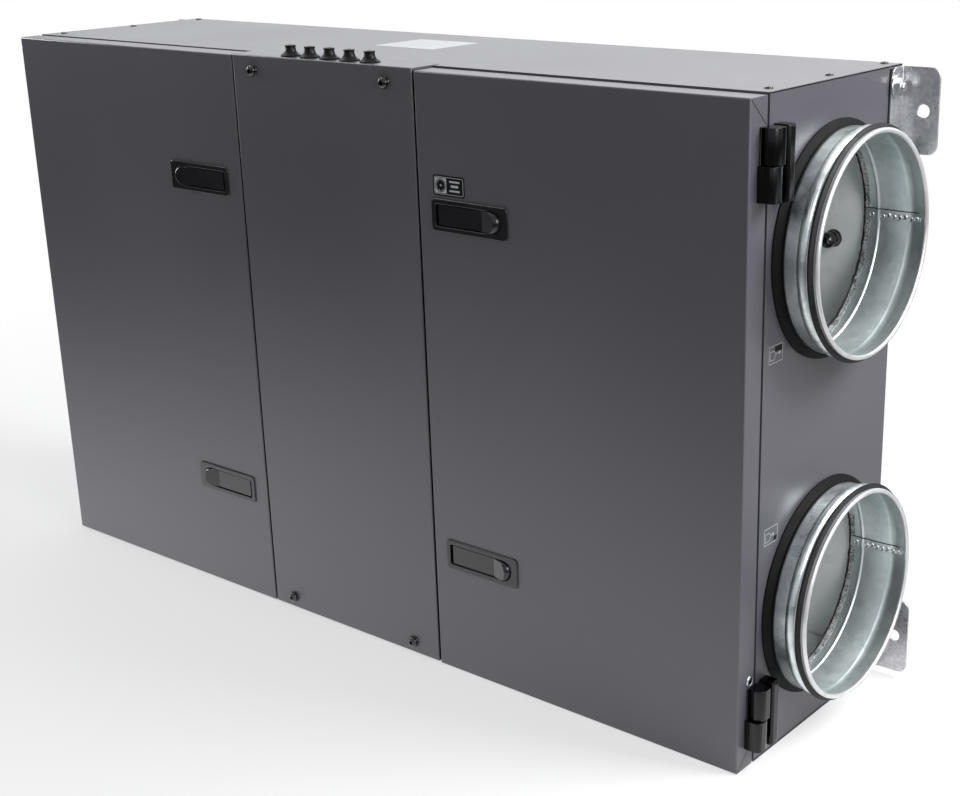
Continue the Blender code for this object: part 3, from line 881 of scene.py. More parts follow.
@dataclass
class Spigot:
    """A pressed steel duct spigot with its collar, lip gasket, lap seam and sealant."""

    side: Side
    level: Level
    finishes: Finishes
    tube_r: float = 0.099
    sheet: float = 0.001
    out: float = 0.0414
    rim_r: float = 0.0022
    rim_drop: float = 0.0014
    bead: Point = (0.0205, 0.0295)
    bead_rise: float = 0.0021
    ridge: Point = (-0.0108, -0.0068)
    ridge_rise: float = 0.0012
    groove_share: float = 0.55
    inner_end: float = -0.0234
    collar_deep: float = 0.0085
    collar_rise: float = 0.006
    gasket: Point = (0.0312, 0.0364)
    smear: float = 0.0048
    lap: Point = (0.0, 5.5)
    lap_step: float = 0.0007
    joint: float = 0.45
    welds: int = 10
    weld_r: float = 0.0028
    steps: int = 128

    def __post_init__(self) -> None:
        """Reads from the frame where the spigot stands."""
        self.name = f"{self.side.word}_{self.level.value}_spigot"
        low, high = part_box(self.name)
        self.centre = Vector((0.0, (low.y + high.y) / 2, (low.z + high.z) / 2))
        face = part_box(f"{self.side.word}_panel")
        self.centre.x = face[1].x if self.side is Side.RIGHT else face[0].x
        self.axis = Vector((self.side.value, 0.0, 0.0))

    def swell(self, span: Point, rise: float, steps: int = 10) -> list[Point]:
        """A rounded swelling of the sheet.

        Args:
            span: Where it starts and ends along the axis.
            rise: Its height.
            steps: How many steps make it.

        Returns:
            Points as (distance along the axis, height).
        """
        start, end = span
        points = []
        for i in range(steps + 1):
            share = i / steps
            height = rise * math.sin(math.pi * share) ** 0.8 if 0 < i < steps else 0.0
            points.append((start + (end - start) * share, height))
        return points

    def bore(self, drop: float, to_rim: bool = False) -> list[Point]:
        """The bore's profile from the rim inwards.

        Args:
            drop: How far it lies inside the sheet's inner face.
            to_rim: Whether it starts at the rolled rim, and not at the bead.

        Returns:
            Points as (distance along the axis, radius).
        """
        radius = self.tube_r - self.sheet - drop
        groove = self.swell(self.bead, self.bead_rise * self.groove_share)
        points = [(x, radius + h) for x, h in reversed(groove)]
        points += [(x, radius - h) for x, h in reversed(self.swell(self.ridge, self.ridge_rise, 8))]
        if to_rim:
            roll = (self.out - self.rim_r - 0.0004, self.tube_r - self.rim_drop - self.rim_r - drop)
            points = [roll, (self.out - 2 * self.rim_r, radius), *points]
        return [*points, (self.inner_end, radius)]

    def build_tube(self) -> None:
        """The pressed tube with its bead, inner ridge and rolled rim."""
        rim = (self.out - self.rim_r, self.tube_r - self.rim_drop)
        outside = [(self.inner_end, self.tube_r)]
        outside += [(x, self.tube_r + h) for x, h in self.swell(self.bead, self.bead_rise)]
        roll = arc(rim, self.rim_r, 140, -150, 14)
        bm = bmesh.new()
        profile = [*outside, *roll, *self.bore(0.0)]
        turned(bm, profile, self.centre, self.axis, self.steps, closed=True)
        tube = finish_piece(f"{self.name}_tube", bm, self.finishes.steel, "casing", [self.name])
        tube.data.materials.append(self.finishes.bore)
        tube.data.materials.append(self.finishes.rim)
        last = self.out - 2 * self.rim_r
        for face in tube.data.polygons:
            away = face.center - self.centre
            along = away.dot(self.axis)
            inner = face.normal.dot(away - self.axis * along) < 0
            if inner and along < last:
                face.material_index = 1
            # Past the gasket the tube takes the paler rim finish: painted highlight.
            elif along > self.gasket[0]:
                face.material_index = 2

    def around(self, degrees: float) -> Vector:
        """The direction square to the axis at an angle from the rear towards the top."""
        turn = math.radians(degrees)
        return Vector((0.0, math.cos(turn), math.sin(turn)))

    def build_lap(self) -> None:
        """The end of the rolled sheet that laps inside the tube, and its spot welds."""
        start, end = self.lap
        bm = bmesh.new()
        profile = [*self.bore(self.lap_step, True), *reversed(self.bore(-self.sheet / 4, True))]
        turn = math.radians(end - start) * self.side.value
        turned(bm, profile, self.centre, self.axis, 4, True, turn, self.around(start))
        ends = [edge for edge in bm.edges if edge.is_boundary]
        bmesh.ops.edgeloop_fill(bm, edges=ends)
        piece = f"{self.name}_lap"
        finish_piece(piece, bm, self.finishes.bore, "casing")
        bm = bmesh.new()
        profile = [*self.bore(self.lap_step * 0.6, True), *reversed(self.bore(-self.sheet / 4, True))]
        turn = math.radians(self.joint) * self.side.value
        turned(bm, profile, self.centre, self.axis, 1, True, turn, self.around(end))
        bmesh.ops.edgeloop_fill(bm, edges=[edge for edge in bm.edges if edge.is_boundary])
        finish_piece(f"{self.name}_lap_joint", bm, self.finishes.foam, "casing")
        bm = bmesh.new()
        radius = self.tube_r - self.sheet - self.lap_step
        first, last = self.inner_end + 0.008, self.out - 0.0065
        for i in range(self.welds):
            along = first + (last - first) * i / (self.welds - 1)
            if self.ridge[0] - 0.002 < along < self.ridge[1] + 0.002:
                continue
            share = (along - self.bead[0]) / (self.bead[1] - self.bead[0])
            groove = math.sin(math.pi * share) * self.bead_rise * self.groove_share if 0 < share < 1 else 0.0
            swing = (start + end) / 2 - 0.4 + 0.5 * math.sin(i * 2.4)
            out = self.around(swing)
            foot = self.centre + self.axis * along + out * (radius + groove)
            nugget = [(0.0, self.weld_r), (0.0004, self.weld_r * 0.92), (0.0007, self.weld_r * 0.76)]
            nugget += [(0.0006, self.weld_r * 0.6), (0.0002, self.weld_r * 0.45), (0.0002, 0.0)]
            turned(bm, nugget, foot, -out, 16)
        finish_piece(f"{self.name}_spot_welds", bm, self.finishes.zinc, "casing")

    def build_sealant(self) -> None:
        """An uneven bead of sealant round the inner end."""
        radius = self.tube_r - self.sheet - 0.0006
        bm = bmesh.new()
        bead = arc((self.inner_end + 0.0012, radius), 0.001, 0, 360, 8)[:-1]
        turned(bm, bead, self.centre, self.axis, self.steps, closed=True)
        for vert in bm.verts:
            away = vert.co - self.centre
            away.x = 0.0
            wave = noise.noise(vert.co * 260.0)
            vert.co -= away.normalized() * 0.0008 * wave
            vert.co.x += self.axis.x * 0.0012 * noise.noise(vert.co * 230.0)
        finish_piece(f"{self.name}_sealant", bm, self.finishes.rubber, "casing")
        bm = bmesh.new()
        start, wide = self.inner_end + 0.0016, self.smear
        radius += 0.0002
        end, upper = start + wide, radius + 0.0003
        film = [(start, radius), (end, radius), (end, upper), (start, upper)]
        turned(bm, film, self.centre, self.axis, self.steps, closed=True)
        for vert in bm.verts:
            edge = noise.noise(vert.co * 120.0) * 0.0016
            if (vert.co - self.centre).dot(self.axis) > start + wide / 2:
                vert.co += self.axis * edge
        finish_piece(f"{self.name}_sealant_film", bm, self.finishes.film, "casing")

    def build_gasket(self) -> None:
        """The rubber lip gasket in its groove."""
        seat = self.tube_r + 0.0003
        low, high = self.gasket
        profile = [
            (low, seat),
            (low, seat + 0.0012),
            (low + 0.0006, seat + 0.0017),
            (low + 0.0013, seat + 0.0018),
            *arc((high - 0.0022, seat + 0.0031), 0.0008, 165, 15, 5),
            (high - 0.0006, seat + 0.0016),
            (high, seat + 0.0011),
            (high, seat),
        ]
        bm = bmesh.new()
        turned(bm, profile, self.centre, self.axis, self.steps, closed=True)
        node = f"{self.name}_gasket"
        finish_piece(f"{self.name}_lip_gasket", bm, self.finishes.rubber, "casing", [node])

    def build_collar(self) -> None:
        """The moulded collar that seals the tube to the casing."""
        seat = self.tube_r + 0.0003
        foot = 0.0003
        outer = self.tube_r + self.collar_rise
        profile = [
            (foot, seat),
            (foot, outer - 0.0004),
            (foot + 0.0004, outer),
            (foot + 0.0014, outer - 0.0001),
            *arc((foot + 0.011, outer + 0.0012), 0.0083, 215, 255, 6),
            (foot + self.collar_deep, seat + 0.0012),
            (foot + self.collar_deep, seat),
        ]
        bm = bmesh.new()
        turned(bm, profile, self.centre, self.axis, self.steps, closed=True)
        node = f"{self.name}_collar"
        finish_piece(f"{self.name}_moulded_collar", bm, self.finishes.foam, "casing", [node])

    def build(self) -> None:
        """Makes all of the spigot."""
        self.build_tube()
        self.build_lap()
        self.build_sealant()
        self.build_gasket()
        self.build_collar()
        log.info("%s built", self.name)


@dataclass
class Fastener:
    """A screw or bolt head that stands on a face."""

    finishes: Finishes
    steps: int = 40

    def button(self, name: str, body: str, foot: Vector, out: Vector) -> None:
        """A black button-head screw with a hexagon socket, on a black washer.

        Args:
            name: The piece's name.
            body: The body that carries it.
            foot: The point on the face under the head.
            out: The direction in which the head stands.
        """
        bm = bmesh.new()
        washer = [(0.0, 0.0), (0.0, 0.0062), (0.0009, 0.0064), (0.0014, 0.0061), (0.0014, 0.0)]
        turned(bm, washer, foot, out, self.steps)
        finish_piece(f"{name}_washer", bm, self.finishes.screw_black, body)
        bm = bmesh.new()
        dome = [(0.0014, 0.0), (0.0014, 0.0053), (0.0021, 0.0056)]
        turns = (0.15, 0.35, 0.55, 0.75, 0.95, 1.1)
        dome += [(0.0021 + 0.0034 * math.sin(a), 0.0056 * math.cos(a) ** 0.85) for a in turns]
        dome += [(0.0052, 0.0)]
        turned(bm, dome, foot, out, self.steps)
        head = finish_piece(name, bm, self.finishes.screw_black, body)
        self.socket(head, foot + out * 0.0062, out, 0.0023, 0.0034)

    def socket(self, head: Object, top: Vector, out: Vector, radius: float, deep: float) -> None:
        """Cuts a hexagon socket into a head.

        Args:
            head: The screw head.
            top: A point just over the head, on its axis.
            out: The direction in which the head stands.
            radius: The socket's radius to its corners.
            deep: How far it goes down from the point.
        """
        bm = bmesh.new()
        place = Matrix.Translation(top - out * (deep / 2)) @ out.to_track_quat("Z", "Y").to_matrix().to_4x4()
        bmesh.ops.create_cone(
            bm, cap_ends=True, segments=6, radius1=radius, radius2=radius, depth=deep, matrix=place
        )
        carve(head, bm)

    def ring(self, name: str, body: str, foot: Vector, out: Vector) -> None:
        """A black countersunk screw in a bright cup washer.

        Args:
            name: The piece's name.
            body: The body that carries it.
            foot: The point on the face under the washer.
            out: The direction in which the head stands.
        """
        bm = bmesh.new()
        cup = [(0.0, 0.0034), (0.0, 0.0049), *arc((0.0006, 0.0045), 0.0007, 30, 120, 4)]
        cup += [(0.0014, 0.0037), (0.0009, 0.0034)]
        turned(bm, cup, foot, out, self.steps, closed=True)
        finish_piece(f"{name}_washer", bm, self.finishes.zinc, body)
        bm = bmesh.new()
        head = [(0.0, 0.0), (0.0, 0.0033), (0.0009, 0.0033), (0.0014, 0.0028), (0.0016, 0.0)]
        turned(bm, head, foot, out, self.steps)
        screw = finish_piece(name, bm, self.finishes.screw_black, body)
        self.socket(screw, foot + out * 0.002, out, 0.0016, 0.0014)

    def pan(self, name: str, body: str, foot: Vector, out: Vector, radius: float = 0.0038) -> None:
        """A low dark pan-head screw.

        Args:
            name: The piece's name.
            body: The body that carries it.
            foot: The point on the face under the head.
            out: The direction in which the head stands.
            radius: The head's radius.
        """
        tall = radius * 0.4
        bm = bmesh.new()
        profile = [(0.0, 0.0), (0.0, radius), (tall * 0.4, radius)]
        profile += [(tall * (0.4 + 0.6 * math.sin(a)), radius * math.cos(a) ** 0.6) for a in (0.4, 0.8, 1.15)]
        profile += [(tall, 0.0)]
        turned(bm, profile, foot, out, self.steps)
        head = finish_piece(name, bm, self.finishes.screw_black, body)
        self.socket(head, foot + out * (tall + 0.0005), out, radius * 0.42, tall * 0.9)

    def hexagon(self, name: str, body: str, foot: Vector, out: Vector) -> None:
        """A zinc-plated hexagon nut with its stud's end, on a wide washer.

        Args:
            name: The piece's name.
            body: The body that carries it.
            foot: The point on the face under the washer.
            out: The direction in which the head stands.
        """
        bm = bmesh.new()
        washer = [(0.0, 0.0), (0.0, 0.0101), (0.0004, 0.0105)]
        washer += [(0.0013, 0.0105), (0.0017, 0.0101), (0.0017, 0.0)]
        turned(bm, washer, foot, out, self.steps)
        finish_piece(f"{name}_washer", bm, self.finishes.bracket, body)
        bm = bmesh.new()
        place = Matrix.Translation(foot + out * 0.0042) @ out.to_track_quat("Z", "Y").to_matrix().to_4x4()
        nut = bmesh.ops.create_cone(
            bm, cap_ends=True, segments=6, radius1=0.0078, radius2=0.0078, depth=0.005, matrix=place
        )["verts"]
        top = [v for v in nut if (v.co - foot).dot(out) > 0.005]
        rounded(bm, edges_of(top), 0.0009, 2)
        finish_piece(f"{name}_nut", bm, self.finishes.zinc, body)
        bm = bmesh.new()
        stud = [(0.002, 0.0), (0.002, 0.004), (0.0084, 0.004), (0.0092, 0.0034), (0.0092, 0.0)]
        turned(bm, stud, foot, out, 28)
        finish_piece(name, bm, self.finishes.zinc, body)


@dataclass
class MiddlePanelScrews:
    """The four button-head screws that hold the middle panel."""

    finishes: Finishes
    inset_x: Point = (0.0298, 0.0345)
    from_ends: Point = (0.0138, 0.0145)

    def build(self) -> None:
        """Stands a screw near each corner of the panel."""
        low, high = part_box("middle_panel")
        fastener = Fastener(self.finishes)
        across = (low.x + self.inset_x[0], high.x - self.inset_x[1])
        up = (self.from_ends[0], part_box("top_panel")[1].z - self.from_ends[1])
        out = Vector((0.0, -1.0, 0.0))
        for column, x in zip(("left", "right"), across):
            for row, z in zip(("lower", "upper"), up):
                foot = Vector((x, low.y, z))
                fastener.button(f"middle_panel_{row}_{column}_screw", "casing", foot, out)
        log.info("middle panel: 4 screws")


@dataclass
class TopScrews:
    """The small dark screws along both ends of the top panel."""

    finishes: Finishes
    inset: float = 0.012
    depths: Sequence[float] = (0.049, 0.147, 0.246)

    def build(self) -> None:
        """Stands three screws at each end."""
        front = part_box("right_door")[0].y
        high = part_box("top_panel")[1]
        fastener = Fastener(self.finishes)
        for side in Side:
            for number, depth in enumerate(self.depths, 1):
                foot = Vector((side.value * (high.x - self.inset), front + depth, high.z))
                fastener.pan(f"top_panel_{side.word}_screw_{number}", "casing", foot, Vector((0.0, 0.0, 1.0)))
        log.info("top panel: 6 screws")


@dataclass
class HingeScrews:
    """The ring-washer screw on the door's side, just above each lower hinge."""

    finishes: Finishes
    depth: float = 0.0181
    height: float = 0.0876

    def build(self) -> None:
        """Stands one screw on each door."""
        fastener = Fastener(self.finishes)
        for side in Side:
            door = f"{side.word}_door"
            low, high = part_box(door)
            face = high.x if side is Side.RIGHT else low.x
            foot = Vector((face, low.y + self.depth, self.height))
            fastener.ring(f"{door}_ring_screw", door, foot, Vector((side.value, 0.0, 0.0)))
        log.info("doors: 2 ring screws")


@dataclass
class SeamShadowLines:
    """Dark strips of painted shade along the joints where the casing's panels meet, and beside the middle
    panel.
    """

    finishes: Finishes
    proud: float = 0.00005
    top_line: Point = (0.0002, 0.0013)
    bottom_line: Point = (0.0013, 0.0024)
    middle_line: float = 0.0026
    edge_from: float = 0.0014

    def build(self) -> None:
        """Lays a dark line of painted shade along each joint and beside the middle panel."""
        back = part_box("back_panel")[1].y
        for side in Side:
            low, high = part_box(f"{side.word}_panel")
            face = high.x if side is Side.RIGHT else low.x
            xs = sorted((face - side.value * 0.0002, face + side.value * self.proud))
            # Dark strips of painted shade along the side panel's top and bottom joints.
            bm = bmesh.new()
            near, far = self.top_line
            block(bm, (xs[0], low.y, high.z - far), (xs[1], back, high.z - near))
            near, far = self.bottom_line
            block(bm, (xs[0], low.y, low.z + near), (xs[1], back, low.z + far))
            finish_piece(f"{side.word}_panel_joints", bm, self.finishes.foam, "casing")
        low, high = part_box("middle_panel")
        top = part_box("top_panel")[1].z
        # A dark strip of painted shade in the joint behind the middle panel's top.
        bm = bmesh.new()
        block(bm, (low.x, high.y, top - 0.0002), (high.x, high.y + self.middle_line, top + self.proud))
        finish_piece("top_panel_joint_shade", bm, self.finishes.foam, "casing")
        # Dark strips of painted shade on the middle panel's sides, in the gaps to the doors.
        front, rear = low.y + self.edge_from, low.y + 0.0285
        for sign, face in ((-1, low.x), (1, high.x)):
            xs = sorted((face - sign * 0.0002, face + sign * self.proud))
            bm = bmesh.new()
            block(bm, (xs[0], front, low.z + 0.002), (xs[1], rear, high.z - 0.002))
            side = "right" if sign > 0 else "left"
            finish_piece(f"middle_panel_{side}_edge_tape", bm, self.finishes.foam, "casing")
        log.info("casing joints drawn")


@dataclass
class CableGrommets:
    """The row of flared rubber grommets on the middle panel's top edge."""

    finishes: Finishes
    count: int = 5
    node_r: float = 0.0106
    strip: float = 0.0025
    under_top: float = 0.0018
    shift: float = -0.0006
    foot_r: float = 0.0101
    neck_r: float = 0.005
    flange_r: float = 0.0055
    tall: float = 0.0107

    def build(self) -> None:
        """Turns every grommet and lays the strip that joins them under the panel."""
        low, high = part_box("cable_grommets")
        depth = (low.y + high.y) / 2
        first, last = low.x + self.node_r, high.x - self.node_r
        top = low.z + self.strip + self.under_top
        flare = ((0.0014, 0.96), (0.0022, 0.82), (0.0033, 0.69), (0.0047, 0.585), (0.0062, 0.53))
        shape = [(-self.under_top - 0.001, 0.0), (-self.under_top - 0.001, 0.0042), (0.0002, 0.0042)]
        shape += [(0.0002, self.foot_r), (0.0011, self.foot_r)]
        shape += [(z, share * self.foot_r) for z, share in flare]
        shape += [(self.tall - 0.0019, self.neck_r), (self.tall - 0.0015, self.flange_r)]
        shape += [(self.tall - 0.0004, self.flange_r), (self.tall, self.flange_r - 0.0005)]
        shape += [(self.tall, 0.0022), (self.tall - 0.0008, 0.0016), (self.tall - 0.0008, 0.0)]
        bm = bmesh.new()
        for i in range(self.count):
            x = first + (last - first) * i / (self.count - 1) + self.shift
            turned(bm, shape, (x, depth, top), Vector((0.0, 0.0, 1.0)), 36)
        start = (first - 0.0072, depth - 0.0068, low.z)
        block(bm, start, (last + 0.0072, depth + 0.0068, low.z + self.strip))
        finish_piece("grommet_row", bm, self.finishes.gland, "casing", ["cable_grommets"])
        log.info("%d grommets turned", self.count)


@dataclass
class BracketBolts:
    """The nut that holds each wall bracket to the casing, and a dark strip of painted shadow in the gap under
    the bracket's flange.
    """

    finishes: Finishes
    behind: float = 0.0142
    from_end: float = 0.0172
    shadow_strip_shows: float = 0.0014
    shadow_strip_thick: float = 0.00028

    def build(self) -> None:
        """Stands one nut on each bracket's side flange, and lays a dark strip of painted shadow under the
        flange.
        """
        fastener = Fastener(self.finishes)
        for side in Side:
            for level in Level:
                bracket = f"{side.word}_{level.value}_bracket"
                low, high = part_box(bracket)
                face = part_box(f"{side.word}_panel")
                x = face[1].x if side is Side.RIGHT else face[0].x
                z = high.z - self.from_end if level is Level.UPPER else low.z + self.from_end
                foot = Vector((x + side.value * 0.0023, high.y - self.behind, z))
                fastener.hexagon(f"{bracket}_bolt", "casing", foot, Vector((side.value, 0.0, 0.0)))
                # A dark strip of painted shadow in the gap between the flange and the panel.
                xs = sorted((x, x + side.value * self.shadow_strip_thick))
                bm = bmesh.new()
                start = (xs[0], low.y - self.shadow_strip_shows, low.z + 0.001)
                block(bm, start, (xs[1], high.y - 0.003, high.z - 0.001))
                finish_piece(f"{bracket}_pad", bm, self.finishes.foam, "casing")
        log.info("brackets: 4 bolts")


@dataclass
class DoorTrim:
    """What is fixed to a door apart from its latches and hinges: seal, hem, a dark strip of painted shade at
    the latch-side edge, and corner seams.
    """

    side: Side
    finishes: Finishes
    seal_from: float = 0.0042
    seal_to: float = 0.0076
    seam: float = 0.0007
    proud: float = 0.00004
    back: float = 0.0255
    hem_from: float = 0.0009
    hem_to: float = 0.0036
    tape: Point = (0.0013, 0.0245)

    def __post_init__(self) -> None:
        """Reads the door's box."""
        self.body = f"{self.side.word}_door"
        self.low, self.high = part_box(self.body)

    def ring(self, bm: bmesh.types.BMesh, outer: float, inner: float, front: float, back: float) -> None:
        """A rectangular ring that follows the door's edges.

        Args:
            bm: The mesh that takes it.
            outer: How far its outside lies in from the door's edges.
            inner: How far its inside lies in from them.
            front: Where it starts in depth.
            back: Where it ends in depth.
        """
        x0, x1 = self.low.x, self.high.x
        z0, z1 = self.low.z, self.high.z
        block(bm, (x0 + outer, front, z0 + outer), (x1 - outer, back, z0 + inner))
        block(bm, (x0 + outer, front, z1 - inner), (x1 - outer, back, z1 - outer))
        block(bm, (x0 + outer, front, z0 + inner), (x0 + inner, back, z1 - inner))
        block(bm, (x1 - inner, front, z0 + inner), (x1 - outer, back, z1 - inner))

    def build_seal(self) -> None:
        """The foam seal that closes the gap between the door and the casing."""
        bm = bmesh.new()
        pan = self.high.y - 0.0031
        self.ring(bm, self.seal_from, self.seal_to, pan, self.high.y - 0.0001)
        finish_piece(f"{self.body}_seal", bm, self.finishes.foam, self.body)

    def build_hem(self) -> None:
        """The folded hem of the door's sheet, which shows in the gap to the casing."""
        bm = bmesh.new()
        back = self.low.y + self.back
        self.ring(bm, self.hem_from, self.hem_to, back + 0.0009, back + 0.0017)
        self.ring(bm, self.hem_to - 0.0002, self.hem_to + 0.0005, back - 0.0002, back + 0.0017)
        finish_piece(f"{self.body}_hem", bm, self.finishes.paint, self.body)

    def build_painted_shade(self) -> None:
        """A black strip of painted shade on the door's latch-side edge, in the gap to the middle panel."""
        sign = self.side.value
        face = self.low.x if self.side is Side.RIGHT else self.high.x
        # A dark strip of painted shade in the gap beside the door's latch edge.
        x0, x1 = sorted((face + sign * 0.0002, face - sign * self.proud))
        bm = bmesh.new()
        near, far = self.tape
        block(bm, (x0, self.low.y + near, self.low.z + 0.002), (x1, self.low.y + far, self.high.z - 0.002))
        finish_piece(f"{self.body}_edge_tape", bm, self.finishes.foam, self.body)

    def build_seams(self) -> None:
        """The mitred corner seams of the folded sheet on the door's hinge side."""
        sign = self.side.value
        face = self.high.x if self.side is Side.RIGHT else self.low.x
        x0, x1 = sorted((face - sign * 0.0002, face + sign * self.proud))
        bm = bmesh.new()
        for end, inward in ((self.low.z, 1.0), (self.high.z, -1.0)):
            start = Vector((0.0, self.low.y + 0.0016, end + inward * 0.0015))
            stop = Vector((0.0, self.low.y + 0.0246, end + inward * 0.0235))
            along = (stop - start).normalized() * (self.seam / 2)
            across = Vector((0.0, -along.z, along.y))
            verts = block(bm, (x0, -0.5, -0.5), (x1, 0.5, 0.5))
            for vert in verts:
                base = start if vert.co.y < 0 else stop
                lift = across if vert.co.z > 0 else -across
                vert.co = Vector((vert.co.x, base.y + lift.y, base.z + lift.z))
        finish_piece(f"{self.body}_mitre_seams", bm, self.finishes.black, self.body)

    def build(self) -> None:
        """Makes the door's trim."""
        self.build_seal()
        self.build_hem()
        self.build_painted_shade()
        self.build_seams()
        log.info("%s trimmed", self.body)


@dataclass
class CompartmentLining:
    """The galvanised sheet that lines the compartment behind a door."""

    side: Side
    finishes: Finishes
    sheet: float = 0.0005

    def build(self) -> None:
        """Lines the back, the floor and the ceiling of the compartment."""
        sign = self.side.value
        core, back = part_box("core_housing"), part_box("back_panel")
        top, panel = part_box("top_panel"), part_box(f"{self.side.word}_panel")
        near = core[1].x + 0.0006 if sign > 0 else -core[0].x + 0.0006
        far = (panel[0].x if sign > 0 else -panel[1].x) - 0.0004
        front, rear = top[0].y + 0.0012, back[0].y - 0.0003
        low, high = core[0].z + 0.0003, core[1].z - 0.0003
        left, right = sorted((sign * near, sign * far))
        inner = rear - 2 * self.sheet
        sheets = {
            "back": ((left, rear - self.sheet, low), (right, rear, high)),
            "floor": ((left, front, low), (right, inner, low + self.sheet)),
            "ceiling": ((left, front, high - self.sheet), (right, inner, high)),
        }
        for place, (start, end) in sheets.items():
            bm = bmesh.new()
            block(bm, start, end)
            # Its finish is paler than real zinc: painted light for the dim compartment.
            finish_piece(f"{self.side.word}_lining_{place}", bm, self.finishes.liner, "casing")
        log.info("%s compartment lined", self.side.word)


@dataclass
class DuctSensor:
    """The black plug of the sensor behind the right upper spigot."""

    finishes: Finishes
    place: Point = (0.4326, 0.4412)
    radius: float = 0.0076
    tall: float = 0.019

    def build(self) -> None:
        """Stands the plug on the compartment's back."""
        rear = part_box("back_panel")[0].y - 0.0008
        foot = Vector((self.place[0], rear, self.place[1]))
        r, h = self.radius, self.tall
        profile = [(0.0, 0.0), (0.0, r * 1.1), (0.001, r * 1.1), (0.0014, r), (h * 0.3, r)]
        profile += [(h * 0.33, r * 0.88), (h * 0.42, r * 0.88), (h * 0.45, r), (h * 0.7, r * 0.97)]
        profile += [(h * (0.7 + 0.3 * math.sin(a)), r * 0.95 * math.cos(a)) for a in (0.3, 0.6, 0.9, 1.2)]
        profile += [(h, 0.0)]
        bm = bmesh.new()
        turned(bm, profile, foot, Vector((0.0, -1.0, 0.0)), 40)
        finish_piece("right_upper_duct_sensor", bm, self.finishes.screw_black, "casing")
        log.info("duct sensor built")


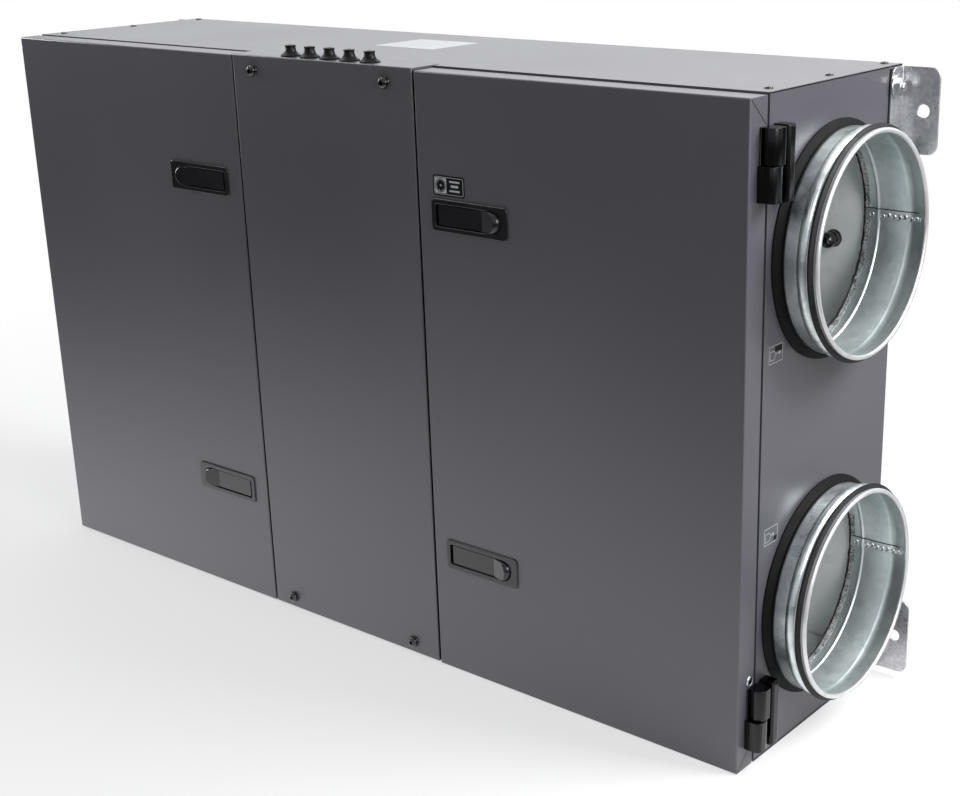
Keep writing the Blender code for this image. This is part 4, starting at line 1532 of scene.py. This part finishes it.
@dataclass
class Signs:
    """Plain labels and pictograms: a fan sign on the door, a ruled label on top, arrows by the ducts."""

    finishes: Finishes
    base: float = 0.0002
    ink: float = 0.00006
    line: float = 0.0005
    code_at: Point = (0.1464, 0.4911)
    code_size: Point = (0.0386, 0.0192)
    top_at: Point = (-0.0505, 0.129)
    top_size: Point = (0.081, 0.071)
    top_rows: int = 6
    row_pitch: float = 0.0105
    row_tall: float = 0.0045
    duct_signs: Sequence[tuple[str, float, bool]] = (("upper", 0.3765, True), ("lower", 0.2102, False))
    duct_at: float = 0.0375
    duct_size: Point = (0.0222, 0.0156)

    def plate(
        self, name: str, body: str, material: Material, face: Face, size: Point, round_r: float
    ) -> None:
        """A thin plate with rounded corners.

        Args:
            name: The piece's name.
            body: The body that carries it.
            material: Its finish.
            face: Where its lower left corner lies.
            size: Its width and height.
            round_r: The radius of its corners.
        """
        bm = bmesh.new()
        face.raise_outline(bm, soft_corners((0.0, 0.0), size, round_r), 0.0, self.base)
        finish_piece(name, bm, material, body)

    def print_ink(
        self, name: str, body: str, material: Material, face: Face, shapes: Iterable[Shape], foot: float
    ) -> None:
        """Printed shapes on a plate or on the paint.

        Args:
            name: The piece's name.
            body: The body that carries it.
            material: The ink.
            face: Where the print's lower left corner lies.
            shapes: Outlines, each with the width of its rim, or 0 where it is filled.
            foot: How far off the face the print lies.
        """
        bm = bmesh.new()
        for outline, border in shapes:
            face.raise_outline(bm, outline, foot, foot + self.ink, border)
        finish_piece(name, bm, material, body)

    def bar(self, low: Point, high: Point) -> list[Point]:
        """The outline of a plain bar."""
        return [low, (high[0], low[1]), high, (low[0], high[1])]

    def fan_blade(self, centre: Point, turn: float, radius: float) -> list[Point]:
        """The outline of one curved fan blade.

        Args:
            centre: The fan's centre.
            turn: Which way the blade points, in degrees.
            radius: How far it reaches.

        Returns:
            Points round the blade.
        """
        lead = arc(centre, radius * 0.55, turn, turn, 1)[0]
        outer = arc(centre, radius, turn + 12, turn + 66, 5)
        hub = arc(centre, radius * 0.2, turn + 60, turn - 10, 3)
        return [lead, *outer, *hub]

    def code_label(self) -> None:
        """The black sign over the upper right latch: a fan in a white square and three bars."""
        x, z = Vector((1.0, 0.0, 0.0)), Vector((0.0, 0.0, 1.0))
        face = Face(Vector((self.code_at[0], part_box("right_door")[0].y, self.code_at[1])), x, z)
        wide, tall = self.code_size
        body = "right_door"
        self.plate("fan_label", body, self.finishes.black, face, self.code_size, 0.0022)
        rim = soft_corners((0.0015, 0.0015), (wide - 0.0015, tall - 0.0015), 0.0017)
        square = soft_corners((0.0026, 0.0026), (0.0164, tall - 0.0026), 0.0006)
        bars = [self.bar((0.0198 + inset, up), (0.0332 - inset, up + high)) for inset, up, high in
                ((0.0004, 0.0047, 0.0016), (0.0022, 0.0087, 0.0022), (0.0005, 0.0131, 0.0017))]
        white = [(rim, 0.00045), (square, 0.0), *((bar, 0.0) for bar in bars)]
        self.print_ink("fan_label_print", body, self.finishes.white, face, white, self.base)
        centre = (0.0095, tall / 2)
        black = [(self.fan_blade(centre, turn, 0.0052), 0.0) for turn in range(0, 360, 60)]
        black.append((arc(centre, 0.0064, 0, 348, 29), 0.0007))
        self.print_ink("fan_label_blades", body, self.finishes.black, face, black, self.base + self.ink)

    def top_label(self) -> None:
        """The white label on top, with faint lines."""
        front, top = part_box("right_door")[0].y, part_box("top_panel")[1].z
        x, y = Vector((1.0, 0.0, 0.0)), Vector((0.0, 1.0, 0.0))
        face = Face(Vector((self.top_at[0], front + self.top_at[1], top)), x, y)
        self.plate("top_label", "casing", self.finishes.white, face, self.top_size, 0.001)
        rows = []
        for i in range(self.top_rows):
            low = 0.007 + self.row_pitch * i
            rows.append((self.bar((0.006, low), (0.05 + 0.006 * (i * 2 % 5), low + self.row_tall)), 0.0))
        self.print_ink("top_label_lines", "casing", self.finishes.grey, face, rows, self.base)

    def duct_sign(self, name: str, foot: float, outward: bool) -> None:
        """A printed sign beside a spigot: a box with an arrow.

        Args:
            name: Which spigot it stands beside.
            foot: The height of its lower edge.
            outward: Whether the arrow points away from the box.
        """
        front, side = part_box("right_door")[0].y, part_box("right_panel")[1].x
        y, z = Vector((0.0, 1.0, 0.0)), Vector((0.0, 0.0, 1.0))
        face = Face(Vector((side, front + self.duct_at, foot)), y, z)
        wide, tall = self.duct_size
        flag = soft_corners((wide * 0.42, tall * 0.6), (wide - 0.0011, tall - 0.0011), 0.0003)
        if not outward:
            flag = soft_corners((wide * 0.72, 0.0011), (wide - 0.0011, tall * 0.34), 0.0003)
        self.print_ink(f"{name}_duct_sign_field", "casing", self.finishes.black, face, [(flag, 0.0)], 0.0)
        unit = [(0.0018, 0.0028), (0.0088, 0.0028), (0.0112, tall * 0.5)]
        unit += [(0.0088, tall - 0.0046), (0.0018, tall - 0.0046)]
        shaft = self.bar((0.0112, tall * 0.5 - self.line / 2), (0.0165, tall * 0.5 + self.line / 2))
        tip, root = (0.0195, 0.016) if outward else (0.0122, 0.0157)
        head = [(root, tall * 0.5 - 0.0017), (tip, tall * 0.5), (root, tall * 0.5 + 0.0017)]
        rim = soft_corners((0.0, 0.0), (wide, tall), 0.0008)
        white = [(rim, self.line), (unit, self.line), (shaft, 0.0), (head if outward else head[::-1], 0.0)]
        self.print_ink(f"{name}_duct_sign", "casing", self.finishes.white, face, white, self.ink)

    def build(self) -> None:
        """Sticks on every sign."""
        self.code_label()
        self.top_label()
        for name, foot, outward in self.duct_signs:
            self.duct_sign(name, foot, outward)
        log.info("signs stuck on")


@dataclass
class Stage:
    """The floor, the light and the camera."""

    camera_at: Sequence[float] = (1.1489, -1.18852, 0.77269)
    camera_turn: Sequence[float] = (70.8409, 0.9858, 38.3927)
    lens: float = 59.483
    shift: Point = (-0.08654, 0.02432)
    floor_size: float = 14.0
    # The floor's painted pools of light: the size, place and share of each, their glow and their painted
    # colours.
    pool: Point = (1.5, 1.05)
    pool_at: Point = (-0.34, -0.18)
    side_painted_pool: Point = (1.1, 1.0)
    side_share: float = 0.4
    side_painted_pool_at: Point = (1.4, 0.95)
    floor_glow_power: float = 1.09
    glow: float = 0.55
    painted_lit_floor: Colour = (0.92, 0.92, 0.93)
    painted_dark_floor: Colour = (0.12, 0.12, 0.12)
    ambient: float = 0.12
    mirrored: float = 0.7

    def build_camera(self) -> None:
        """Stands the camera where the photograph was taken."""
        data = bpy.data.cameras.new("camera")
        data.sensor_width = 36.0
        data.lens = self.lens
        data.shift_x, data.shift_y = self.shift
        camera = bpy.data.objects.new("camera", data)
        camera.location = self.camera_at
        camera.rotation_euler = [math.radians(turn) for turn in self.camera_turn]
        bpy.context.scene.collection.objects.link(camera)
        bpy.context.scene.camera = camera

    def build_floor(self) -> None:
        """A pale floor that keeps the unit's shadow, with painted light: to rays other than the camera's its
        colour runs from pale in two round pools to dark further out, and it glows in those pools to light the
        unit, though it is no lamp; to the camera it shows a white glow, mixed with a matt floor inside the
        first pool so that the shadow stays.
        """
        bm = bmesh.new()
        bmesh.ops.create_grid(bm, x_segments=1, y_segments=1, size=self.floor_size / 2)
        mesh = bpy.data.meshes.new("floor")
        bm.to_mesh(mesh)
        bm.free()
        floor = bpy.data.objects.new("floor", mesh)
        floor.location.z = -0.0004
        bpy.context.scene.collection.objects.link(floor)
        material = bpy.data.materials.new("pale_floor")
        material.use_nodes = True
        tree = material.node_tree
        tree.nodes.clear()
        place = tree.nodes.new("ShaderNodeTexCoord")
        # Two round gradients: the painted pools of light on the floor.
        painted_pools = []
        for (wide, deep), (x, y) in ((self.pool, self.pool_at), (self.side_painted_pool, self.side_painted_pool_at)):
            reach = tree.nodes.new("ShaderNodeMapping")
            reach.inputs["Location"].default_value = (-x / wide, -y / deep, 0.0)
            reach.inputs["Scale"].default_value = (1 / wide, 1 / deep, 1.0)
            pool = tree.nodes.new("ShaderNodeTexGradient")
            pool.gradient_type = "SPHERICAL"
            tree.links.new(place.outputs["Object"], reach.inputs["Vector"])
            tree.links.new(reach.outputs["Vector"], pool.inputs["Vector"])
            painted_pools.append(pool.outputs["Fac"])
        both = tree.nodes.new("ShaderNodeMath")
        both.operation = "MULTIPLY_ADD"
        both.use_clamp = True
        both.inputs[1].default_value = self.side_share
        # The floor's colour: pale in the painted pools of light, dark further out.
        shade = tree.nodes.new("ShaderNodeValToRGB")
        shade.color_ramp.elements[0].color = (*self.painted_dark_floor, 1.0)
        shade.color_ramp.elements[1].color = (*self.painted_lit_floor, 1.0)
        shade.color_ramp.elements[1].position = 0.75
        card = tree.nodes.new("ShaderNodeBsdfDiffuse")
        # The floor glows in the painted pools of light and so lights the unit, though it is no lamp.
        floor_glow = tree.nodes.new("ShaderNodeEmission")
        power = tree.nodes.new("ShaderNodeMath")
        power.operation = "MULTIPLY"
        power.inputs[1].default_value = self.floor_glow_power
        lit_card = tree.nodes.new("ShaderNodeAddShader")
        matt = tree.nodes.new("ShaderNodeBsdfDiffuse")
        matt.inputs["Color"].default_value = (0.86, 0.86, 0.87, 1.0)
        glow = tree.nodes.new("ShaderNodeEmission")
        seen = tree.nodes.new("ShaderNodeMixShader")
        fade = tree.nodes.new("ShaderNodeMapRange")
        fade.inputs["From Max"].default_value = 0.5
        fade.inputs["To Min"].default_value = 1.0
        fade.inputs["To Max"].default_value = self.glow
        mix = tree.nodes.new("ShaderNodeMixShader")
        rays = tree.nodes.new("ShaderNodeLightPath")
        output = tree.nodes.new("ShaderNodeOutputMaterial")
        for start, end in (
            (painted_pools[1], both.inputs[0]),
            (painted_pools[0], both.inputs[2]),
            (both.outputs[0], shade.inputs["Fac"]),
            (shade.outputs["Color"], card.inputs["Color"]),
            (painted_pools[0], fade.inputs["Value"]),
            (fade.outputs["Result"], seen.inputs[0]),
            (matt.outputs[0], seen.inputs[1]),
            (glow.outputs[0], seen.inputs[2]),
            (rays.outputs["Is Camera Ray"], mix.inputs[0]),
            (both.outputs[0], power.inputs[0]),
            (power.outputs[0], floor_glow.inputs["Strength"]),
            (card.outputs[0], lit_card.inputs[0]),
            (floor_glow.outputs[0], lit_card.inputs[1]),
            (lit_card.outputs[0], mix.inputs[1]),
            (seen.outputs[0], mix.inputs[2]),
            (mix.outputs[0], output.inputs["Surface"]),
        ):
            tree.links.new(start, end)
        mesh.materials.append(material)

    def build_world(self) -> None:
        """A white surround for the camera, and a softer one for diffuse light."""
        world = bpy.data.worlds.new("studio")
        world.use_nodes = True
        bpy.context.scene.world = world
        tree = world.node_tree
        tree.nodes.clear()
        rays = tree.nodes.new("ShaderNodeLightPath")
        seen = tree.nodes.new("ShaderNodeBackground")
        seen.inputs["Color"].default_value = (1.0, 1.0, 1.0, 1.0)
        ambient = tree.nodes.new("ShaderNodeBackground")
        ambient.inputs["Color"].default_value = (0.96, 0.98, 1.0, 1.0)
        ambient.inputs["Strength"].default_value = self.ambient
        mirror = tree.nodes.new("ShaderNodeBackground")
        mirror.inputs["Color"].default_value = (0.94, 0.97, 1.0, 1.0)
        mirror.inputs["Strength"].default_value = self.mirrored
        first = tree.nodes.new("ShaderNodeMixShader")
        second = tree.nodes.new("ShaderNodeMixShader")
        output = tree.nodes.new("ShaderNodeOutputWorld")
        tree.links.new(rays.outputs["Is Glossy Ray"], first.inputs[0])
        tree.links.new(ambient.outputs[0], first.inputs[1])
        tree.links.new(mirror.outputs[0], first.inputs[2])
        tree.links.new(rays.outputs["Is Camera Ray"], second.inputs[0])
        tree.links.new(first.outputs[0], second.inputs[1])
        tree.links.new(seen.outputs[0], second.inputs[2])
        tree.links.new(second.outputs[0], output.inputs["Surface"])

    def lamp(
        self, name: str, place: Sequence[float], size: Point, power: float, aim: Sequence[float]
    ) -> None:
        """A soft area lamp.

        Args:
            name: The lamp's name.
            place: Where it stands.
            size: Its width and height.
            power: Its power in watts.
            aim: The point that it faces.
        """
        data = bpy.data.lights.new(name, "AREA")
        data.shape = "RECTANGLE"
        data.size, data.size_y = size
        data.energy = power
        lamp = bpy.data.objects.new(name, data)
        lamp.location = place
        lamp.rotation_euler = (Vector(aim) - Vector(place)).to_track_quat("-Z", "Y").to_euler()
        lamp.visible_camera = False
        bpy.context.scene.collection.objects.link(lamp)

    def build_light(self) -> None:
        """Soft light from above, from the right and from behind."""
        self.lamp("overhead", (-0.3, 0.2, 2.4), (2.8, 1.2), 9.0, (-0.3, 0.1, 0.0))
        self.lamp("left_box", (-2.8, -0.15, 0.95), (0.9, 1.0), 26.0, (0.0, -0.1, 0.4))
        self.lamp("edge_strip", (-1.2, -0.8, 2.0), (1.8, 0.2), 7.0, (0.0, -0.12, 0.55))
        self.lamp("rear_strip", (-1.5, 1.2, 2.25), (3.0, 0.14), 11.0, (0.0, -0.1, 0.6))
        self.lamp("right_box", (1.6, 0.6, 1.6), (0.9, 0.8), 46.0, (0.49, 0.0, 0.4))
        self.lamp("right_front", (1.6, -0.5, 1.0), (0.7, 0.7), 11.0, (0.45, 0.05, 0.4))
        self.lamp("rear_sweep", (-2.2, 2.9, 1.9), (3.4, 1.4), 21.0, (0.0, 0.0, 0.3))

    def build(self) -> None:
        """Sets up the studio."""
        scene = bpy.context.scene
        scene.view_settings.view_transform = "Standard"
        self.build_camera()
        self.build_floor()
        self.build_world()
        self.build_light()
        log.info("stage built")


def main() -> None:
    """Dresses the unit piece by piece."""
    logging.basicConfig(level=logging.INFO, format="%(name)s: %(message)s")
    finishes = Finishes()
    Stage().build()
    Cladding(finishes).dress()
    for side in Side:
        for level in Level:
            Spigot(side, level, finishes).build()
        DoorTrim(side, finishes).build()
        CompartmentLining(side, finishes).build()
    Fittings(finishes).build()
    MiddlePanelScrews(finishes).build()
    TopScrews(finishes).build()
    HingeScrews(finishes).build()
    BracketBolts(finishes).build()
    CableGrommets(finishes).build()
    SeamShadowLines(finishes).build()
    DuctSensor(finishes).build()
    Signs(finishes).build()


if __name__ == "__main__":
    main()
